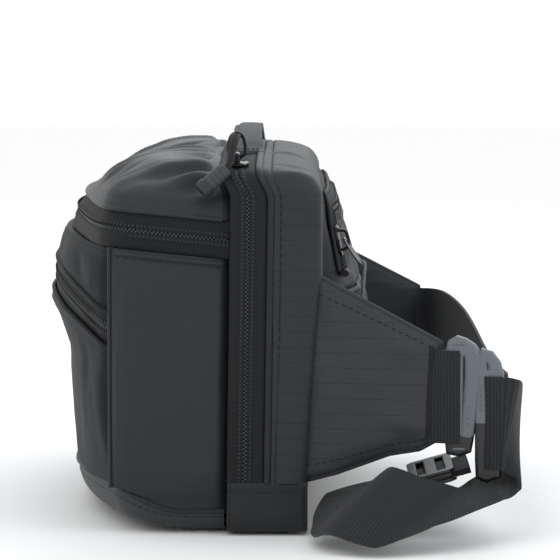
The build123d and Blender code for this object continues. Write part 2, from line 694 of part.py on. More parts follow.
def flat_bail(plane, hole, name):
    """A ring and a pull that lie along a slider's travel, flat over its plate."""
    bail_plane = Plane(origin=hole, x_dir=plane.y_dir, z_dir=plane.z_dir * -1)
    bail(f"{name}_bail", bail_plane, *BAIL)
    pull_start = hole + plane.x_dir * BAIL_REACH
    pull(f"{name}_pull", Plane(origin=pull_start, x_dir=bail_plane.x_dir, z_dir=bail_plane.z_dir), PULL)


def cord(label, route):
    """A short round cord along straight runs joined by tangent arcs."""
    radii = route_radii(route)
    print(label, "radii", [round(radius, 1) for radius in radii])
    with BuildPart() as tube:
        with BuildLine() as line:
            FilletPolyline(*route, radius=radii)
        with BuildSketch(Plane(origin=line.line @ 0, z_dir=line.line % 0)):
            Circle(CORD_R)
        sweep(path=line.line)
    length = sum(edge.length for edge in line.edges())
    print(label, "length", round(length, 1), "volume ratio", tube.part.volume / (math.pi * CORD_R**2 * length))
    save(tube, label)


CORD_R = 1.1

# Rear zip: on the top near its near corner, sliding away over the top.
REAR_SLIDER = (112.0, -12.8, 158.3)
REAR_RUN = Vector(-60, 0, 3.45).normalized()
rear_slider_plane = Plane(origin=REAR_SLIDER, x_dir=REAR_RUN, z_dir=Vector(0, 1, 0).cross(REAR_RUN))
rear_hole = slider("rear_slider", rear_slider_plane)
print("rear slider hinge", rear_hole, "travel", REAR_RUN)
bail("rear_bail", Plane(origin=rear_hole, x_dir=(0, 1, 0), z_dir=(1, 0, 0)), *BAIL)
BARREL_TOP = Vector(126.6, -16.8, 158.4)
BARREL_RUN = Vector(0.15, -0.75, -0.66).normalized()
PULL_CORD_ROUTE = [
    rear_hole + Vector(0, 0, BAIL[1] - WIRE - CORD_R - 0.1),
    rear_hole + Vector(5.0, -0.4, BAIL[1] - WIRE - 0.5),
    rear_hole + Vector(10.0, -1.4, BAIL[1] - WIRE - 4.5),
    BARREL_TOP,
]
cord("rear_pull_cord", PULL_CORD_ROUTE)
BARREL_SIDE = BARREL_RUN.cross(Vector(1, 0, 0)).normalized()
pull(
    "rear_pull",
    Plane(origin=BARREL_TOP, x_dir=BARREL_SIDE, z_dir=BARREL_SIDE.cross(BARREL_RUN)),
    (8.6, 15.5, 7.0),
)

# Lid zip: on the far side, sliding forward.
MAIN_SLIDER_Y = -26.0
MAIN_RUN = Vector(0, -1, ZIP_SLOPE).normalized()
main_slider_plane = Plane(
    origin=(-125.0, MAIN_SLIDER_Y, MAIN_ZIP_Z + MAIN_CHAIN + ZIP_SLOPE * (MAIN_REAR_Y - MAIN_SLIDER_Y)),
    x_dir=MAIN_RUN,
    z_dir=(-1, 0, 0),
)
main_hole = slider("main_slider", main_slider_plane)
print("main slider hinge", main_hole, "travel", MAIN_RUN)
flat_bail(main_slider_plane, main_hole, "main")

# Front pocket zip: near its far end, sliding along the zip towards the middle.
FRONT_SLIDER_X = -92.0


def pocket_chain_point(x):
    """A point of the pocket zip's chain on the outer face of the skin, and the zip's run there."""
    (low_z, low_c, low_m), (high_z, high_c, high_m) = SKIN_LEVELS[2:4]
    z = low_z
    for _ in range(20):
        part = (z - low_z) / (high_z - low_z)
        corner = low_c + (high_c - low_c) * part
        middle = low_m + (high_m - low_m) * part
        radius = (SKIN_HALF_WIDTH**2 + (corner - middle) ** 2) / (2 * (corner - middle))
        y = middle + radius - math.sqrt(radius**2 - x**2)
        z = POCKET_ZIP_Z + POCKET_CHAIN - POCKET_SLOPE * (y - POCKET_ZIP_Y)
    slope = x / math.sqrt(radius**2 - x**2)
    return Vector(x, y, z), Vector(1, slope, -POCKET_SLOPE * slope).normalized()


front_origin, FRONT_RUN = pocket_chain_point(FRONT_SLIDER_X)
front_normal = Vector(FRONT_RUN.Y, -FRONT_RUN.X, 0.1)
front_normal = (front_normal - FRONT_RUN * front_normal.dot(FRONT_RUN)).normalized()
front_slider_plane = Plane(origin=front_origin, x_dir=FRONT_RUN, z_dir=front_normal)
front_hole = slider("front_slider", front_slider_plane)
print("front slider hinge", front_hole, "axis", front_slider_plane.y_dir, "travel", FRONT_RUN)
flat_bail(front_slider_plane, front_hole, "front")

# Back pocket zip: on the near side of the padded back, sliding up.
BACK_SLIDER = (98.0, 30.2, 125.0)
BACK_RUN = Vector(0, -0.2, 1).normalized()
BACK_BAIL = (8.6, 15.0)
back_normal = Vector(0.09, 1, 0.2)
back_normal = (back_normal - BACK_RUN * back_normal.dot(BACK_RUN)).normalized()
back_slider_plane = Plane(origin=BACK_SLIDER, x_dir=BACK_RUN, z_dir=back_normal)
back_hole = slider("back_slider", back_slider_plane)
print("back slider hinge", back_hole, "axis", back_slider_plane.y_dir, "travel", BACK_RUN)
BACK_HANG = Vector(0, 0.57, -0.82)
BACK_HANG = (BACK_HANG - back_slider_plane.y_dir * BACK_HANG.dot(back_slider_plane.y_dir)).normalized()
bail(
    "back_bail",
    Plane(
        origin=back_hole,
        x_dir=back_slider_plane.y_dir,
        z_dir=back_slider_plane.y_dir.cross(BACK_HANG),
    ),
    *BACK_BAIL,
)
CORD_TOP = back_hole + BACK_HANG * (BACK_BAIL[1] - 2 * WIRE - CORD_R)
BACK_CORD_ROUTE = [
    CORD_TOP,
    CORD_TOP + Vector(0, 1.6, -9),
    CORD_TOP + Vector(0.6, 1.4, -19),
    CORD_TOP + Vector(0.4, 2.0, -29),
]
cord("back_pull_cord", BACK_CORD_ROUTE)
BACK_END = BACK_CORD_ROUTE[-1] + Vector(0, 0, 1)
pull("back_pull", Plane(origin=BACK_END, x_dir=(1, 0, 0), z_dir=(0, 1, 0)), (6.0, -12.0, 4.6), 2.0)
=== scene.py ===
"""The look of the waist pack, built around its CAD frame.

Lengths in this script are millimetres unless a name says otherwise; a mesh is scaled to metres when it is made.
+X is the near side, -Y the front, +Z up. UV maps are in millimetres too, so each weave has its real pitch.
"""
import math

import bmesh
import bpy
import numpy as np
from mathutils import Matrix, Vector, noise


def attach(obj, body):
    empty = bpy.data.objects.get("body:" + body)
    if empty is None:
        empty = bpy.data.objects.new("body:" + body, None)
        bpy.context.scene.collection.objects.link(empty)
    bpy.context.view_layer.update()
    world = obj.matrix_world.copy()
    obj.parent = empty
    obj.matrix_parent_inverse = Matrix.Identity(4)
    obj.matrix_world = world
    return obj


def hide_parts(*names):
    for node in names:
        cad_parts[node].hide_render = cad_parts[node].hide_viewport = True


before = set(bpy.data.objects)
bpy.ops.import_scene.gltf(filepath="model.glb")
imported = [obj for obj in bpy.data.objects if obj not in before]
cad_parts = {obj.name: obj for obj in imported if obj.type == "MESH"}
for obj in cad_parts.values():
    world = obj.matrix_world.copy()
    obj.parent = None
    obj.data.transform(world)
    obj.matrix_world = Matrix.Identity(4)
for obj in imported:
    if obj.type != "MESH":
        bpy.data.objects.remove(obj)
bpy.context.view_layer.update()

MM = 0.001


# ---------------------------------------------------------------- camera, light and floor

CAMERA_PLACE, CAMERA_TARGET = (1.5994, 0.0137, 0.2391), (0.130, 0.006, 0.1105)
LENS, SENSOR = 220.5, 36.0
# Name, place, target and size of each light in metres, and its power in watts.
LIGHTS = (
    ("top_light", (0.35, -0.1, 1.5), (0.05, 0.0, 0.1), (1.3, 1.6), 2.3),
    ("side_light", (1.5, -1.1, 0.75), (0.1, 0.0, 0.1), (1.0, 1.0), 2.8),
    ("back_light", (0.9, 1.5, 0.7), (0.1, 0.05, 0.08), (0.9, 0.9), 4.5),
    ("far_light", (-1.4, 0.2, 1.0), (0.0, 0.0, 0.1), (1.2, 1.0), 5.0),
)
LIGHT_COLOUR = (0.86, 0.94, 1.0)
WHITE, FLOOR_COLOUR = (1.0, 1.0, 1.0, 1.0), (0.97, 0.97, 0.97, 1.0)
FLOOR_REACH, FLOOR_Z = 4, -0.0008


def look_at(obj, target):
    obj.rotation_euler = (Vector(target) - obj.location).to_track_quat("-Z", "Y").to_euler()


def make_camera():
    data = bpy.data.cameras.new("camera")
    data.lens = LENS
    data.sensor_width = SENSOR
    data.clip_start = 0.1
    camera = bpy.data.objects.new("camera", data)
    camera.location = CAMERA_PLACE
    look_at(camera, CAMERA_TARGET)
    bpy.context.scene.collection.objects.link(camera)
    bpy.context.scene.camera = camera


def area_light(name, spot, target, size, power):
    data = bpy.data.lights.new(name, "AREA")
    data.shape = "RECTANGLE"
    data.size, data.size_y = size
    data.energy = power
    data.color = LIGHT_COLOUR
    light = bpy.data.objects.new(name, data)
    light.location = spot
    look_at(light, target)
    bpy.context.scene.collection.objects.link(light)


def make_stage():
    """The lights, a white surrounding and a pale floor."""
    for light in LIGHTS:
        area_light(*light)
    world = bpy.data.worlds.new("world")
    world.use_nodes = True
    background = world.node_tree.nodes["Background"]
    background.inputs["Color"].default_value = WHITE
    background.inputs["Strength"].default_value = 1.0
    bpy.context.scene.world = world
    bpy.context.scene.view_settings.view_transform = "Standard"
    mesh = bpy.data.meshes.new("floor")
    r = FLOOR_REACH
    mesh.from_pydata([(-r, -r, 0), (r, -r, 0), (r, r, 0), (-r, r, 0)], [], [(0, 1, 2, 3)])
    floor = bpy.data.objects.new("floor", mesh)
    floor.location.z = FLOOR_Z
    bpy.context.scene.collection.objects.link(floor)
    material = bpy.data.materials.new("floor")
    material.use_nodes = True
    shader = material.node_tree.nodes["Principled BSDF"]
    shader.inputs["Base Color"].default_value = FLOOR_COLOUR
    shader.inputs["Roughness"].default_value = 0.7
    mesh.materials.append(material)


# ---------------------------------------------------------------- materials

def linear(rgb):
    """sRGB from 0 to 255 as linear values."""
    return tuple((c / 255 / 12.92) if c <= 10 else ((c / 255 + 0.055) / 1.055) ** 2.4 for c in rgb)


class Graph:
    """A small helper that adds and links shader nodes."""

    def __init__(self, name, rough, sheen=0.0, metallic=0.0, coat=0.0, specular=0.3):
        self.material = bpy.data.materials.new(name)
        self.material.use_nodes = True
        self.tree = self.material.node_tree
        self.shader = self.tree.nodes["Principled BSDF"]
        self.shader.inputs["Roughness"].default_value = rough
        self.shader.inputs["Metallic"].default_value = metallic
        self.shader.inputs["Sheen Weight"].default_value = sheen
        self.shader.inputs["Sheen Roughness"].default_value = 0.45
        self.shader.inputs["Coat Weight"].default_value = coat
        self.shader.inputs["Specular IOR Level"].default_value = specular

    def node(self, kind, **values):
        node = self.tree.nodes.new(kind)
        for key, value in values.items():
            setattr(node, key, value)
        return node

    def feed(self, value, socket):
        if isinstance(value, bpy.types.NodeSocket):
            self.tree.links.new(value, socket)
        else:
            socket.default_value = value

    def math(self, operation, a, b=0.0, c=0.0, clamp=False):
        node = self.node("ShaderNodeMath", operation=operation, use_clamp=clamp)
        for value, socket in zip((a, b, c), node.inputs):
            self.feed(value, socket)
        return node.outputs[0]

    def uv(self):
        """U and V of the piece's own map, in millimetres."""
        split = self.node("ShaderNodeSeparateXYZ")
        coordinates = self.node("ShaderNodeTexCoord")
        self.tree.links.new(coordinates.outputs["UV"], split.inputs[0])
        return split.outputs[0], split.outputs[1]

    def noise(self, scale, detail=3.0, stretch=(1, 1, 1)):
        coordinates = self.node("ShaderNodeTexCoord")
        mapping = self.node("ShaderNodeMapping")
        mapping.inputs["Scale"].default_value = stretch
        texture = self.node("ShaderNodeTexNoise")
        texture.inputs["Scale"].default_value = scale
        texture.inputs["Detail"].default_value = detail
        self.tree.links.new(coordinates.outputs["Object"], mapping.inputs[0])
        self.tree.links.new(mapping.outputs[0], texture.inputs["Vector"])
        return texture.outputs["Fac"]

    def wave(self, coordinate, pitch):
        """A smooth wave from 0 to 1."""
        angle = self.math("MULTIPLY_ADD", coordinate, 2 * math.pi / pitch)
        return self.math("MULTIPLY_ADD", self.math("SINE", angle), 0.5, 0.5)

    def line(self, coordinate, pitch, width):
        """A value that is 1 on thin lines at each pitch, and 0 between them."""
        part = self.math("FRACT", self.math("DIVIDE", coordinate, pitch))
        edge = self.math("ABSOLUTE", self.math("SUBTRACT", part, 0.5))
        return self.math("GREATER_THAN", edge, 0.5 - width / pitch / 2)

    def colour(self, factor, low, high):
        ramp = self.node("ShaderNodeMix", data_type="RGBA")
        factor_in, low_in, high_in, result = ramp.inputs[0], ramp.inputs[6], ramp.inputs[7], ramp.outputs[2]
        self.feed(factor, factor_in)
        low_in.default_value = (*linear(low), 1)
        high_in.default_value = (*linear(high), 1)
        self.tree.links.new(result, self.shader.inputs["Base Color"])

    def bump(self, height, distance_mm, strength):
        node = self.node("ShaderNodeBump")
        node.inputs["Strength"].default_value = strength
        node.inputs["Distance"].default_value = distance_mm * MM
        self.tree.links.new(height, node.inputs["Height"])
        self.tree.links.new(node.outputs[0], self.shader.inputs["Normal"])

    def roughness(self, factor, low, high):
        spread = self.math("MULTIPLY_ADD", factor, high - low, low)
        self.tree.links.new(spread, self.shader.inputs["Roughness"])


# A cloth's own colour is this much darker than the lit colour that its MAT entry gives.
DEPTH = 0.64


def shade(rgb, factor):
    return tuple(min(255, c * factor) for c in rgb)


def ripstop(name, rgb, lines=1.0, rib=1.0, rough=(0.5, 0.68), sheen=0.05, specular=0.3):
    """Coated nylon: fine ribs, a ripstop grid of thicker threads and soft mottling."""
    g = Graph(name, rough[1], sheen=sheen, specular=specular)
    u, v = g.uv()
    grid = g.math("MAXIMUM", g.line(v, 6.6, 0.36), g.math("MULTIPLY", g.line(u, 6.9, 0.34), 0.16))
    ribs = g.math("MULTIPLY", g.wave(v, 1.15), g.math("MULTIPLY_ADD", g.wave(u, 0.8), 0.25, 0.75))
    slub = g.noise(420, 4.0, (1, 1, 6))
    cloud = g.noise(38, 3.0)
    tone = g.math("MULTIPLY_ADD", grid, -0.42 * lines, g.math("MULTIPLY_ADD", cloud, 0.5, 0.25))
    tone = g.math("MULTIPLY_ADD", g.math("SUBTRACT", ribs, 0.5), 0.28 * rib, tone)
    tone = g.math("MULTIPLY_ADD", g.math("SUBTRACT", slub, 0.5), 0.5, tone, clamp=True)
    g.colour(tone, shade(rgb, DEPTH * 0.82), shade(rgb, DEPTH * 1.16))
    height = g.math("MULTIPLY_ADD", grid, 0.7 * lines, g.math("MULTIPLY", ribs, 0.3 * rib))
    height = g.math("MULTIPLY_ADD", slub, 0.25, height)
    g.bump(height, 0.16, 0.8)
    g.roughness(g.math("MULTIPLY_ADD", slub, 0.6, g.math("MULTIPLY", cloud, 0.4)), *rough)
    return g.material


def webbing(name, rgb, pitch=1.4, rough=0.75):
    """Woven belt webbing: weft ribs across the strap, cut up by the warp."""
    g = Graph(name, rough, sheen=0.1)
    u, v = g.uv()
    row = g.math("FLOOR", g.math("DIVIDE", u, pitch))
    shift = g.math("MULTIPLY", row, math.pi)
    warp = g.math("MULTIPLY_ADD", v, 2 * math.pi / 1.05, shift)
    warp = g.math("MULTIPLY_ADD", g.math("SINE", warp), 0.5, 0.5)
    rib = g.math("POWER", g.wave(u, pitch), 0.7)
    fuzz = g.noise(900, 2.0)
    height = g.math("MULTIPLY", rib, g.math("MULTIPLY_ADD", warp, 0.55, 0.45))
    tone = g.math("MULTIPLY_ADD", height, 0.75, g.math("MULTIPLY", fuzz, 0.3), clamp=True)
    g.colour(tone, shade(rgb, DEPTH * 0.42), shade(rgb, DEPTH * 1.3))
    g.bump(height, 0.42, 0.9)
    return g.material


def zip_tape(name, rgb):
    """Zip tape: a fine herringbone twill."""
    g = Graph(name, 0.78, sheen=0.05)
    u, v = g.uv()
    fold = g.math("PINGPONG", v, 1.9)
    twill = g.wave(g.math("ADD", u, fold), 1.25)
    fuzz = g.noise(700, 2.0)
    tone = g.math("MULTIPLY_ADD", twill, 0.5, g.math("MULTIPLY", fuzz, 0.55), clamp=True)
    g.colour(tone, shade(rgb, DEPTH * 0.68), shade(rgb, DEPTH * 1.3))
    g.bump(g.math("MULTIPLY_ADD", fuzz, 0.3, twill), 0.14, 0.8)
    return g.material


def air_mesh(name, rgb):
    """Spacer mesh: a staggered grid of small holes."""
    g = Graph(name, 0.85, sheen=0.1)
    u, v = g.uv()
    across = g.math("SUBTRACT", g.wave(g.math("ADD", u, v), 2.6), 0.5)
    along = g.math("SUBTRACT", g.wave(g.math("SUBTRACT", u, v), 2.6), 0.5)
    holes = g.math("MULTIPLY", across, along)
    holes = g.math("MULTIPLY_ADD", holes, 4.0, 0.3, clamp=True)
    g.colour(holes, shade(rgb, 0.35), shade(rgb, 1.25))
    g.bump(holes, 0.5, 0.9)
    return g.material


def thread(name, rgb):
    """Twisted sewing thread."""
    g = Graph(name, 0.6, sheen=0.05)
    twist = g.noise(1500, 2.0)
    g.colour(twist, shade(rgb, 0.7), shade(rgb, 1.3))
    g.bump(twist, 0.1, 0.6)
    return g.material


def moulded(name, rgb, rough, grain):
    """Moulded plastic or rubber: a fine spark-eroded grain and faint flow marks."""
    g = Graph(name, rough, specular=0.5)
    fine = g.noise(1600, 3.0)
    flow = g.noise(60, 2.0)
    g.colour(flow, shade(rgb, 0.93), shade(rgb, 1.07))
    g.bump(fine, grain, 0.5)
    g.roughness(g.math("MULTIPLY_ADD", fine, 0.5, g.math("MULTIPLY", flow, 0.5)), rough * 0.85, rough * 1.2)
    return g.material


def metal(name, rgb, rough):
    """Plated or lacquered metal with fine scratches."""
    g = Graph(name, rough, metallic=0.9, coat=0.2)
    scratch = g.noise(500, 4.0, (1, 8, 1))
    g.colour(scratch, shade(rgb, 0.85), shade(rgb, 1.1))
    g.bump(scratch, 0.03, 0.4)
    g.roughness(scratch, rough * 0.7, rough * 1.4)
    return g.material


def braid(name, rgb):
    """Braided cord: crossing strands."""
    g = Graph(name, 0.7, sheen=0.1)
    u, v = g.uv()
    cross = g.math("MULTIPLY", g.wave(g.math("ADD", u, v), 1.2), g.wave(g.math("SUBTRACT", u, v), 1.2))
    g.colour(g.math("MULTIPLY", cross, 1.6, clamp=True), shade(rgb, 0.55), shade(rgb, 1.35))
    g.bump(cross, 0.25, 0.9)
    return g.material


MAT = {
    "side": ripstop("side_fabric", (49, 53, 59), lines=0.25, rib=0.5, rough=(0.44, 0.6)),
    # Painted shade: the front pocket and yoke cloth gets a darker colour than the side cloth, so the front faces come
    # out as dark as shaded cloth; its sheen and specular are cut as well.
    "body": ripstop(
        "body_fabric", (34, 38, 43), lines=0.4, rib=0.5, rough=(0.5, 0.66), sheen=0.0, specular=0.12
    ),
    "lid": ripstop("lid_fabric", (52, 56, 61), lines=0.45, rib=0.5, rough=(0.42, 0.6)),
    "rear": ripstop("rear_fabric", (54, 58, 62), lines=0.9, rib=1.0),
    "back": ripstop("back_fabric", (56, 58, 62), lines=0.5, rib=0.8, sheen=0.0, specular=0.15),
    "wing": ripstop("wing_fabric", (70, 73, 79), lines=0.75, rib=1.0),
    "patch": ripstop("patch_fabric", (42, 46, 50), lines=0.3, rib=1.2),
    "base": ripstop("base_fabric", (72, 76, 80), lines=0.3, rib=1.0),
    "lining": ripstop("lining_fabric", (62, 64, 66), lines=0.2, rib=0.5, rough=(0.6, 0.75)),
    "mesh": air_mesh("air_mesh", (48, 50, 52)),
    "tape": zip_tape("zip_tape", (30, 32, 35)),
    "coil": moulded("zip_coil", (47, 49, 52), 0.35, grain=0.02),
    "chain_thread": thread("chain_thread", (35, 37, 39)),
    "piping": ripstop("piping_fabric", (44, 46, 49), lines=0.0, rib=1.2),
    "webbing": webbing("belt_webbing", (51, 54, 59)),
    "handle": webbing("handle_webbing", (112, 118, 123), pitch=1.1, rough=0.65),
    "thread": thread("sewing_thread", (18, 18, 20)),
    "buckle": moulded("buckle_plastic", (92, 97, 101), 0.4, grain=0.03),
    "black": moulded("black_plastic", (22, 22, 24), 0.32, grain=0.03),
    "slider": metal("slider_lacquer", (24, 25, 27), 0.36),
    "wire": metal("plated_wire", (120, 122, 126), 0.25),
    "pull": moulded("pull_rubber", (47, 51, 55), 0.6, grain=0.08),
    "pull_dark": moulded("pull_dark_rubber", (30, 32, 35), 0.55, grain=0.08),
    "cord": braid("dark_cord", (36, 36, 38)),
    "cord_grey": braid("grey_cord", (120, 122, 124)),
}


# ---------------------------------------------------------------- mesh helpers

SHARP_ANGLE, PLATE_SHARP_ANGLE = math.radians(55), math.radians(50)
UP = np.array([0.0, 0.0, 1.0])


def smoothstep(value, low, high):
    t = np.clip((value - low) / (high - low), 0, 1)
    return t * t * (3 - 2 * t)


def settle(points):
    """The rear compartment and what is sewn to it lean forward, a little at the foot and more at the crown."""
    y, z = points[..., 1], points[..., 2]
    weight = smoothstep(y, -28, -15.5) * (1 - smoothstep(y, 2, 15))
    lean = -2.2 * np.clip(1 - z / 150, 0, 1) - 5.4 * smoothstep(z, 145, 158)
    moved = points.copy()
    moved[..., 1] = y + weight * lean
    return moved


def unit(vectors):
    """The same directions at length 1; the last axis holds X, Y and Z."""
    vectors = np.asarray(vectors, float)
    return vectors / np.maximum(np.linalg.norm(vectors, axis=-1, keepdims=True), 1e-9)


def grid_normals(points):
    return unit(np.cross(np.gradient(points, axis=0), np.gradient(points, axis=1)))


def lengths(points):
    """Running length along a list of points."""
    steps = np.linalg.norm(np.diff(points, axis=0), axis=1)
    return np.concatenate([[0], np.cumsum(steps)])


def between(where, run, values):
    """Rows of a table at one or more places along its run."""
    return np.stack([np.interp(where, run, values[:, k]) for k in range(values.shape[1])], axis=-1)


def resample(points, count):
    run = lengths(points)
    return between(np.linspace(0, run[-1], count), run, points)


def frames(points, up=None):
    """Side and up directions along a path, without twist; up, where given, is followed."""
    tangent = unit(np.gradient(points, axis=0))
    ups = np.zeros_like(points)
    last = UP if abs(tangent[0][2]) < 0.9 else np.array([1.0, 0.0, 0.0])
    for i, t in enumerate(tangent):
        wanted = last if up is None else up[i]
        last = unit(wanted - t * wanted.dot(t))
        ups[i] = last
    return np.cross(tangent, ups), ups


class Piece:
    """Collects surfaces, tubes and stitches, then makes one object of them."""

    def __init__(self, name, settled=False):
        self.name = name
        self.settled = settled
        self.verts, self.faces, self.uvs, self.slots, self.materials = [], [], [], [], []

    def slot_of(self, material):
        if material not in self.materials:
            self.materials.append(material)
        return self.materials.index(material)

    def add(self, verts, faces, uvs, material):
        start = len(self.verts)
        self.verts.extend(map(tuple, verts))
        self.uvs.extend(map(tuple, uvs))
        self.faces.extend(tuple(start + i for i in face) for face in faces)
        self.slots.extend([self.slot_of(material)] * len(faces))

    def shell(self, points, thickness, material, inner=None, uv=None, away=(0, -35, 80), back=None, turn=False):
        """A closed sheet: the points are its outer side, and its inner side lies thickness behind, or is back.

        away is a point on the inner side; turn lays the weave across instead of along."""
        n, m = points.shape[:2]
        normals = grid_normals(points)
        flip = np.sum(normals * (points - np.array(away, float))) < 0
        if back is None:
            back = points - (-normals if flip else normals) * thickness
        if uv is None:
            u = lengths(points[:, m // 2])[:, None] + np.zeros((n, m))
            v = lengths(points[n // 2])[None, :] + np.zeros((n, m))
            uv = np.stack([v, u] if turn else [u, v], axis=2)
        index = np.arange(n * m).reshape(n, m)
        quads = [
            (index[i, j], index[i + 1, j], index[i + 1, j + 1], index[i, j + 1])
            for i in range(n - 1)
            for j in range(m - 1)
        ]
        size = n * m
        rim = [*index[0, :-1], *index[:-1, -1], *index[-1, :0:-1], *index[:0:-1, 0]]
        sides = [(b, a, a + size, b + size) for a, b in zip(rim, rim[1:] + rim[:1])]
        outer = [q[::-1] for q in quads] if flip else quads
        under = [tuple(i + size for i in (q if flip else q[::-1])) for q in quads]
        if flip:
            sides = [s[::-1] for s in sides]
        verts = np.concatenate([points.reshape(-1, 3), back.reshape(-1, 3)])
        flat = np.concatenate([uv.reshape(-1, 2), uv.reshape(-1, 2)])
        self.add(verts, outer + sides + under, flat, material)
        if inner:
            self.slots[-len(under):] = [self.slot_of(inner)] * len(under)

    def tube(self, path, radius, material, sides=8, closed=False, squash=1.0, up=None):
        """A tube along a path of points. radius is a number or one number for each point."""
        path = np.asarray(path, float)
        if closed:
            path = np.concatenate([path[-1:], path, path[:1]])
        side, ups = frames(path, up)
        if closed:
            path, side, ups = path[1:-1], side[1:-1], ups[1:-1]
        radius = np.broadcast_to(np.asarray(radius, float), (len(path),))
        mean_radius = float(np.mean(radius))
        run = lengths(path)
        angles = np.linspace(0, 2 * math.pi, sides, endpoint=False)
        verts, uvs, faces = [], [], []
        for i, p in enumerate(path):
            for a in angles:
                verts.append(p + radius[i] * (math.cos(a) * side[i] + squash * math.sin(a) * ups[i]))
                uvs.append((run[i], a * mean_radius))
        rings = len(path)
        for i in range(rings if closed else rings - 1):
            here, there = i * sides, ((i + 1) % rings) * sides
            for k in range(sides):
                after = (k + 1) % sides
                faces.append((here + k, here + after, there + after, there + k))
        if not closed:
            faces.append(tuple(range(sides))[::-1])
            faces.append(tuple((rings - 1) * sides + k for k in range(sides)))
        self.add(verts, faces, uvs, material)

    def bead(self, centre, along, out, length, radius, material):
        """One stitch or zip tooth: a short rounded bar, flattened a little towards the cloth."""
        side = np.cross(along, out)
        verts = [centre - along * length / 2]
        for reach in (-0.36, 0.36):
            for k in range(6):
                a = k * math.pi / 3
                ring_point = math.cos(a) * side + 0.8 * math.sin(a) * out
                verts.append(centre + along * length * reach + ring_point * radius)
        verts.append(centre + along * length / 2)
        faces = [(0, 1 + (k + 1) % 6, 1 + k) for k in range(6)]
        faces += [(1 + k, 1 + (k + 1) % 6, 7 + (k + 1) % 6, 7 + k) for k in range(6)]
        faces += [(13, 7 + k, 7 + (k + 1) % 6) for k in range(6)]
        self.add(verts, faces, [(0, 0)] * 14, material)

    def stitches(self, path, out, pitch=3.4, length=2.4, radius=0.3, across=False):
        """A row of stitches along a path; out is the surface normal, one for each point or one for all."""
        out = np.broadcast_to(np.asarray(out, float), path.shape)
        run = lengths(path)
        tangent = np.gradient(path, axis=0)
        for s in np.arange(pitch / 2, run[-1] - pitch / 4, pitch):
            normal = unit(between(s, run, out))
            along = between(s, run, tangent)
            along = unit(along - normal * along.dot(normal))
            if across:
                along = np.cross(along, normal)
            self.bead(between(s, run, path) - normal * 0.05, along, normal, length, radius, MAT["thread"])

    def make(self, body, replaces=()):
        points = np.array(self.verts)
        if self.settled:
            points = settle(points)
        mesh = bpy.data.meshes.new(self.name)
        mesh.from_pydata((points * MM).tolist(), [], self.faces)
        layer = mesh.uv_layers.new(name="cloth")
        corners = np.zeros(len(mesh.loops), int)
        mesh.loops.foreach_get("vertex_index", corners)
        layer.data.foreach_set("uv", np.array(self.uvs, float)[corners].reshape(-1))
        for material in self.materials:
            mesh.materials.append(material)
        mesh.polygons.foreach_set("material_index", self.slots)
        mesh.polygons.foreach_set("use_smooth", [True] * len(mesh.polygons))
        mesh.update()
        work = bmesh.new()
        work.from_mesh(mesh)
        bmesh.ops.recalc_face_normals(work, faces=work.faces)
        work.to_mesh(mesh)
        work.free()
        mesh.set_sharp_from_angle(angle=SHARP_ANGLE)
        return place(mesh, self.name, body, replaces)


def place(mesh, name, body, replaces=()):
    piece = bpy.data.objects.new(name, mesh)
    bpy.context.scene.collection.objects.link(piece)
    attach(piece, body)
    if replaces:
        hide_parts(*replaces)
    return piece


def wobble(points, amount, size, seed=0.0):
    """Soft unevenness: one value for each point."""
    flat = points.reshape(-1, 3)
    values = [noise.noise(Vector(p) / size + Vector((seed, seed * 1.7, -seed))) for p in flat]
    return amount * np.array(values).reshape(points.shape[:-1])


def creases(points, lines, height, width):
    """Soft folds along straight lines, each given by two points; one value for each point."""
    total = np.zeros(points.shape[:-1])
    for index, (a, b) in enumerate(lines):
        a, b = np.array(a, float), np.array(b, float)
        run = b - a
        t = np.clip(((points - a) @ run) / run.dot(run), -0.15, 1.15)
        gap = np.linalg.norm(points - a - t[..., None] * run, axis=-1)
        fade = np.clip(1.15 - np.abs(2 * t - 1), 0, 1)
        sign = 1.0 if index % 2 == 0 else -0.8
        total += sign * height * fade * np.exp(-((gap / width) ** 2))
    return total


def bulge_at(value, middle, width):
    """A bump of height 1 round a value."""
    return np.exp(-(((value - middle) / width) ** 2))


def both_ways(lines):
    """The same fold lines on the near and the far side, near ones first."""
    return [tuple((sign * x, y, z) for x, y, z in line) for sign in (1, -1) for line in lines]


def plate(name, outline, holes, thickness, bevel, matrix, body, material, replaces=(), bow=None):
    """A flat moulded plate with rounded edges: closed outlines in its own plane, in millimetres."""
    curve = bpy.data.curves.new(name, "CURVE")
    curve.dimensions = "2D"
    curve.fill_mode = "BOTH"
    curve.extrude = thickness / 2 - bevel
    curve.bevel_depth = bevel
    curve.bevel_resolution = 3
    curve.resolution_u = 8
    for loop in (outline, *holes):
        spline = curve.splines.new("NURBS")
        spline.points.add(len(loop) - 1)
        for point, (x, y) in zip(spline.points, loop):
            point.co = (x, y, 0, 1)
        spline.order_u = 3
        spline.use_cyclic_u = True
    temporary = bpy.data.objects.new(name + "_curve", curve)
    mesh = bpy.data.meshes.new_from_object(temporary)
    mesh.name = name
    bpy.data.objects.remove(temporary)
    bpy.data.curves.remove(curve)
    if bow:
        for vertex in mesh.vertices:
            vertex.co.z += bow(vertex.co.x, vertex.co.y)
    mesh.transform(matrix)
    mesh.transform(Matrix.Scale(MM, 4))
    mesh.materials.clear()
    mesh.materials.append(material)
    mesh.polygons.foreach_set("use_smooth", [True] * len(mesh.polygons))
    piece = place(mesh, name, body, replaces)
    split = piece.modifiers.new("edges", "EDGE_SPLIT")
    split.split_angle = PLATE_SHARP_ANGLE
    return piece


def doubled(loop):
    """Corners repeated, so that a NURBS outline keeps near them."""
    return [p for point in loop for p in (point, point)]


# ---------------------------------------------------------------- shapes shared by several pieces

HALF_WIDTH = 131.0
FOOT_Z, CORNER_Z, CORNER_R = 22.3, 145.3, 12
CROWN_Z, CROWN_BOW = 162.5, 2866


def crown(x, top=CROWN_Z):
    """Height of the bowed crown at a place across, or of a line that follows it lower down."""
    return top - x * x / CROWN_BOW


